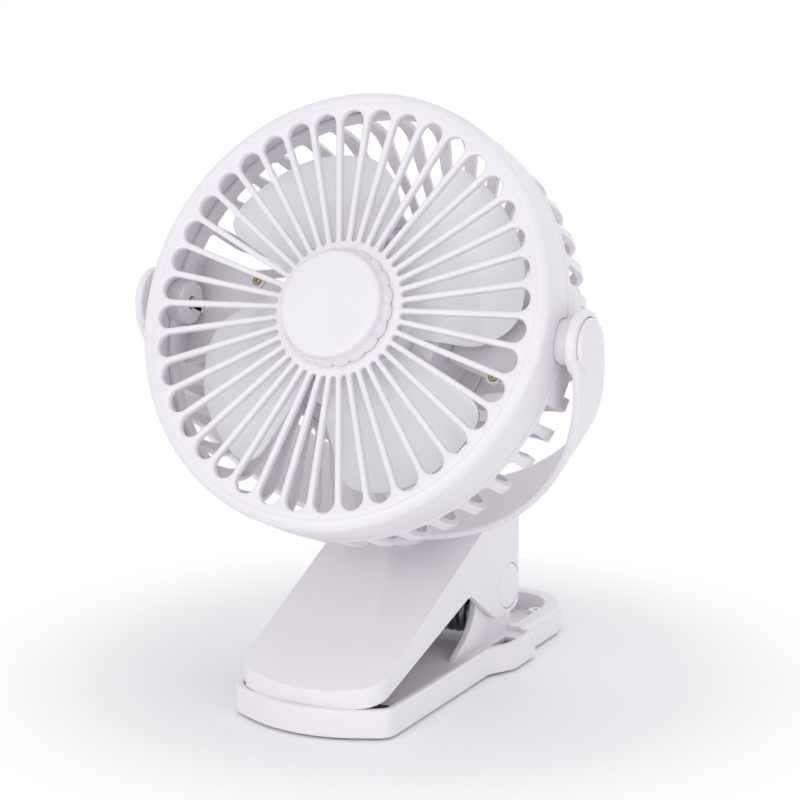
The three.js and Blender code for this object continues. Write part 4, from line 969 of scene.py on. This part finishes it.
def makeUpperJaw():
    j = jaw
    half = j["width"] / 2
    back = pinY + j["back"]
    tall = deckAt(80)
    shellFront = lipY + j["padLength"] + 2
    body = extrudeSideways("upperJaw", jawSide(), -half, half)
    combine(body, extrudeOutline("plan", jawPlan(), 0, tall), "INTERSECT")
    bevelEdges(body, j["edge"], 4, 40)
    inside = extrudeSideways("inside", rounded([
        (shellFront - j["wall"], -10, 0), (back, -10, 0), (back, deckAt(back), 9),
        (shellFront - j["wall"], deckAt(shellFront - j["wall"]), 0)], j["wall"], 6),
        -half + j["wall"], half - j["wall"])
    carve(body, inside)
    carve(body, block("rearOpening", (-half + j["wall"], back - j["wall"] - 1, 0),
                      (half - j["wall"], back + 1, pinZ + 2)))
    for side in (-1, 1):
        carve(body, atPin(rod("recess", j["capRadius"], half - j["capRecess"], half + 1, 96), side))
    carve(body, makePinDrill())
    ontoDeck = clipPlace.inverted() @ yokePlace   # from the yoke's place to the clip's
    swivelHole = rod("swivelHole", j["swivelHole"], j["swivelHoleLow"], j["swivelHoleTop"], 64)
    swivelHole.data.transform(ontoDeck)
    carve(body, swivelHole)
    bevelEdges(body, 0.25, 2, 60)
    collar = spinRounded("collar", [
        (j["collarBore"], j["collarLow"], 0), (j["collar"], j["collarLow"], 0),
        (j["collar"], j["collarTop"], 0.8), (j["collarBore"], j["collarTop"], 0.3)], 96)
    collar.data.transform(ontoDeck)
    joinPieces(body, collar)
    settle(body, clipPlace, "jaw", "shell_white", ["upper_jaw"])


def makePivotCap(side, node):
    half, radius = jaw["width"] / 2, jaw["capRadius"] - 0.25
    back = half - jaw["capThickness"]
    cap = spinRounded("pivotCap" + ("Right" if side > 0 else "Left"), [
        (0, back, 0), (radius, back, 0), (radius, half, 0.35), (0, half, 0)], 96)
    settle(atPin(cap, side), clipPlace, "jaw", "shell_white", [node])


makeUpperJaw()
makePivotCap(1, "pivot_cap_right")
makePivotCap(-1, "pivot_cap_left")
print("upper jaw made")


# rear cover and what shows on it

cover = {
    "radius": 37.0, "back": -49.0, "inside": -46.6, "middle": 19.2,
    "posts": (30, 150, 270), "postReach": 31.5, "well": 2.6, "wellDepth": 1.2, "screwHole": 1.5,
    "buttonX": 4.0, "button": 5.0, "buttonGap": 0.35, "buttonProud": 0.7, "dish": 3.2, "stem": 2.0,
    "lensX": 13.0, "lens": 1.6,
    "portX": -10.5, "portHalfWidth": 4.8, "portHalfHeight": 1.9, "portRound": 1.7,
    "screwHead": 2.3, "screwShank": 1.0, "screwLength": 9.0,
    "crossHalf": 1.2, "crossSlot": 0.25, "crossTurn": 20,
}


def makeRearCover():
    c = cover
    plate = spinRounded("rearCover", [
        (0, c["back"], 0), (c["radius"], c["back"], 1.6), (c["radius"], c["inside"], 0.2),
        (0, c["inside"], 0)], 128)
    low, high = c["back"] - 1, c["inside"] + 1
    tools = []
    for angle in c["posts"]:
        well = spinProfile("well", [
            (0, low), (c["well"], low), (c["well"], c["back"] + c["wellDepth"]),
            (c["screwHole"], c["back"] + c["wellDepth"]), (c["screwHole"], high), (0, high)], 40)
        tools.append(shift(well, *polar(c["postReach"], angle), 0))
    buttonHole = rod("buttonHole", c["button"] + c["buttonGap"], low, high, 64)
    tools.append(shift(buttonHole, c["buttonX"], c["middle"], 0))
    tools.append(shift(rod("lensHole", c["lens"], low, high, 32), c["lensX"], c["middle"], 0))
    left, right = c["portX"] - c["portHalfWidth"], c["portX"] + c["portHalfWidth"]
    under, over = c["middle"] - c["portHalfHeight"], c["middle"] + c["portHalfHeight"]
    port = [(x, y, c["portRound"]) for x, y in ((left, under), (right, under), (right, over), (left, over))]
    tools.append(extrudeOutline("portHole", rounded(port, 0, 12), low, high))
    carve(plate, *tools)
    bevelEdges(plate, 0.2, 2, 60)
    settle(plate, headPlace, "head", "shell_white", ["rear_cover"])


def makeButton():
    c = cover
    face = c["back"] - c["buttonProud"]
    root, end = c["inside"] - 0.4, c["inside"] + 0.8
    button = spinRounded("powerButton", [
        (0, face + 0.25, 0), (c["dish"], face + 0.1, 2.0), (c["button"] - 0.3, face, 0.3),
        (c["button"], face + 0.5, 0.3), (c["button"], root, 0.2), (c["stem"], root, 0),
        (c["stem"], end, 0), (0, end, 0)], 72)
    shift(button, c["buttonX"], c["middle"], 0)
    settle(button, headPlace, "button", "shell_white", ["power_button"])


def makeCoverScrew(angle, number):
    c = cover
    top, under, end = c["back"] + 0.2, c["back"] + 0.95, c["back"] + c["screwLength"]
    head, shank = c["screwHead"], c["screwShank"]
    screw = spinRounded("coverScrew%d" % number, [
        (0, top, 0), (head, top, 0.35), (head, under, 0.1), (shank, under, 0), (shank, end, 0.4),
        (0, end, 0)], 40)
    for turn in (0, 90):
        cross = block("cross", (-c["crossHalf"], -c["crossSlot"], c["back"] - 0.5),
                      (c["crossHalf"], c["crossSlot"], c["back"] + 0.75))
        cross.data.transform(Matrix.Rotation(math.radians(turn + c["crossTurn"]), 4, "Z"))
        carve(screw, cross)
    shift(screw, *polar(c["postReach"], angle), 0)
    settle(screw, headPlace, "head", "steel", ["cover_screw_%d" % number])


makeRearCover()
makeButton()
for number, angle in enumerate(cover["posts"], 1):
    makeCoverScrew(angle, number)
print("rear cover made")


# stage, camera and lamps

studio = {
    "floorColour": (0.96, 0.96, 0.965, 1), "floorRoughness": 0.9, "floorGloss": 0.1,
    "fadeFrom": 0.085, "fadeTo": 0.17,   # metres from the middle of the sole
    "worldColour": (0.97, 0.975, 1.0, 1), "worldStrength": 0.81,
}
look = {"place": (0.4275, -0.8080, 0.3094), "forward": (-0.45769, 0.86018, -0.22495),
        "right": (0.88281, 0.46973, 0.0), "sensor": 36, "lens": 121.07}
lamps = {   # place, target, size, power, colour
    "keyLamp": ((-0.2, -1.7, 0.5), (0, 0, 0.1), 1.2, 6.5, (1, 0.985, 0.99)),
    "fillLamp": ((1.4, -0.9, 0.28), (0, 0, 0.08), 1.0, 4, (0.95, 0.96, 1)),
    "rimLamp": ((0.3, 1.2, 0.9), (0, 0, 0.15), 0.8, 1.5, (1, 1, 1)),
}


def addSeenRays(tree):
    # 1 for the rays that see the backdrop: from the camera, off gloss and through glass
    rays = tree.nodes.new("ShaderNodeLightPath").outputs
    either = addMath(tree, "MAXIMUM", rays["Is Camera Ray"], rays["Is Glossy Ray"])
    return addMath(tree, "MAXIMUM", either, rays["Is Transmission Ray"])


def makeStage():
    bpy.ops.object.select_all(action="DESELECT")
    bpy.ops.mesh.primitive_plane_add(size=12, location=(0, 0, -0.0002))
    floor = bpy.context.object
    floor.name = "floor"
    floor.data.transform(floor.matrix_world)
    floor.matrix_world = Matrix.Identity(4)
    material = bpy.data.materials.new("paleFloor")
    material.use_nodes = True
    tree = material.node_tree
    shader = tree.nodes["Principled BSDF"]
    shader.inputs["Base Color"].default_value = studio["floorColour"]
    shader.inputs["Roughness"].default_value = studio["floorRoughness"]
    shader.inputs["Specular IOR Level"].default_value = studio["floorGloss"]
    # the floor keeps the shadow near the object and runs out into the white backdrop further off
    place = tree.nodes.new("ShaderNodeTexCoord")
    distance = tree.nodes.new("ShaderNodeVectorMath")
    distance.operation = "LENGTH"
    fade = tree.nodes.new("ShaderNodeMapRange")
    fade.interpolation_type = "SMOOTHSTEP"
    fade.inputs["From Min"].default_value = studio["fadeFrom"]
    fade.inputs["From Max"].default_value = studio["fadeTo"]
    tree.links.new(place.outputs["Object"], distance.inputs[0])
    tree.links.new(distance.outputs["Value"], fade.inputs["Value"])
    share = addMath(tree, "MULTIPLY", fade.outputs["Result"], addSeenRays(tree))
    glow = tree.nodes.new("ShaderNodeEmission")
    mix = tree.nodes.new("ShaderNodeMixShader")
    output = tree.nodes["Material Output"]
    tree.links.new(share, mix.inputs["Fac"])
    tree.links.new(shader.outputs["BSDF"], mix.inputs[1])
    tree.links.new(glow.outputs["Emission"], mix.inputs[2])
    tree.links.new(mix.outputs["Shader"], output.inputs["Surface"])
    floor.data.materials.append(material)


def makeCamera():
    camera = bpy.data.objects.new("camera", bpy.data.cameras.new("camera"))
    bpy.context.scene.collection.objects.link(camera)
    forward, right = Vector(look["forward"]).normalized(), Vector(look["right"]).normalized()
    turn = Matrix((right, right.cross(forward), -forward)).transposed().to_4x4()
    camera.matrix_world = Matrix.Translation(look["place"]) @ turn
    camera.data.sensor_width = look["sensor"]
    camera.data.lens = look["lens"]
    camera.data.clip_start = 0.01
    bpy.context.scene.camera = camera


def addLamp(name, place, target, size, power, colour):
    lamp = bpy.data.objects.new(name, bpy.data.lights.new(name, "AREA"))
    bpy.context.scene.collection.objects.link(lamp)
    lamp.data.shape = "DISK"
    lamp.data.size = size
    lamp.data.energy = power
    lamp.data.color = colour
    aim = (Vector(target) - Vector(place)).to_track_quat("-Z", "Y")
    lamp.matrix_world = Matrix.Translation(place) @ aim.to_matrix().to_4x4()


def makeWorld():
    world = bpy.data.worlds.new("studio")
    bpy.context.scene.world = world
    world.use_nodes = True
    tree = world.node_tree
    tree.nodes.clear()
    output = tree.nodes.new("ShaderNodeOutputWorld")
    seen = tree.nodes.new("ShaderNodeBackground")
    lit = tree.nodes.new("ShaderNodeBackground")
    mix = tree.nodes.new("ShaderNodeMixShader")
    seen.inputs["Color"].default_value = (1, 1, 1, 1)
    seen.inputs["Strength"].default_value = 1.0
    lit.inputs["Color"].default_value = studio["worldColour"]
    lit.inputs["Strength"].default_value = studio["worldStrength"]
    tree.links.new(addSeenRays(tree), mix.inputs["Fac"])
    tree.links.new(lit.outputs["Background"], mix.inputs[1])
    tree.links.new(seen.outputs["Background"], mix.inputs[2])
    tree.links.new(mix.outputs["Shader"], output.inputs["Surface"])


makeStage()
makeCamera()
makeWorld()
for lampName, setting in lamps.items():
    addLamp(lampName, *setting)
bpy.context.scene.view_settings.view_transform = "Standard"
print("stage, camera and lamps set")
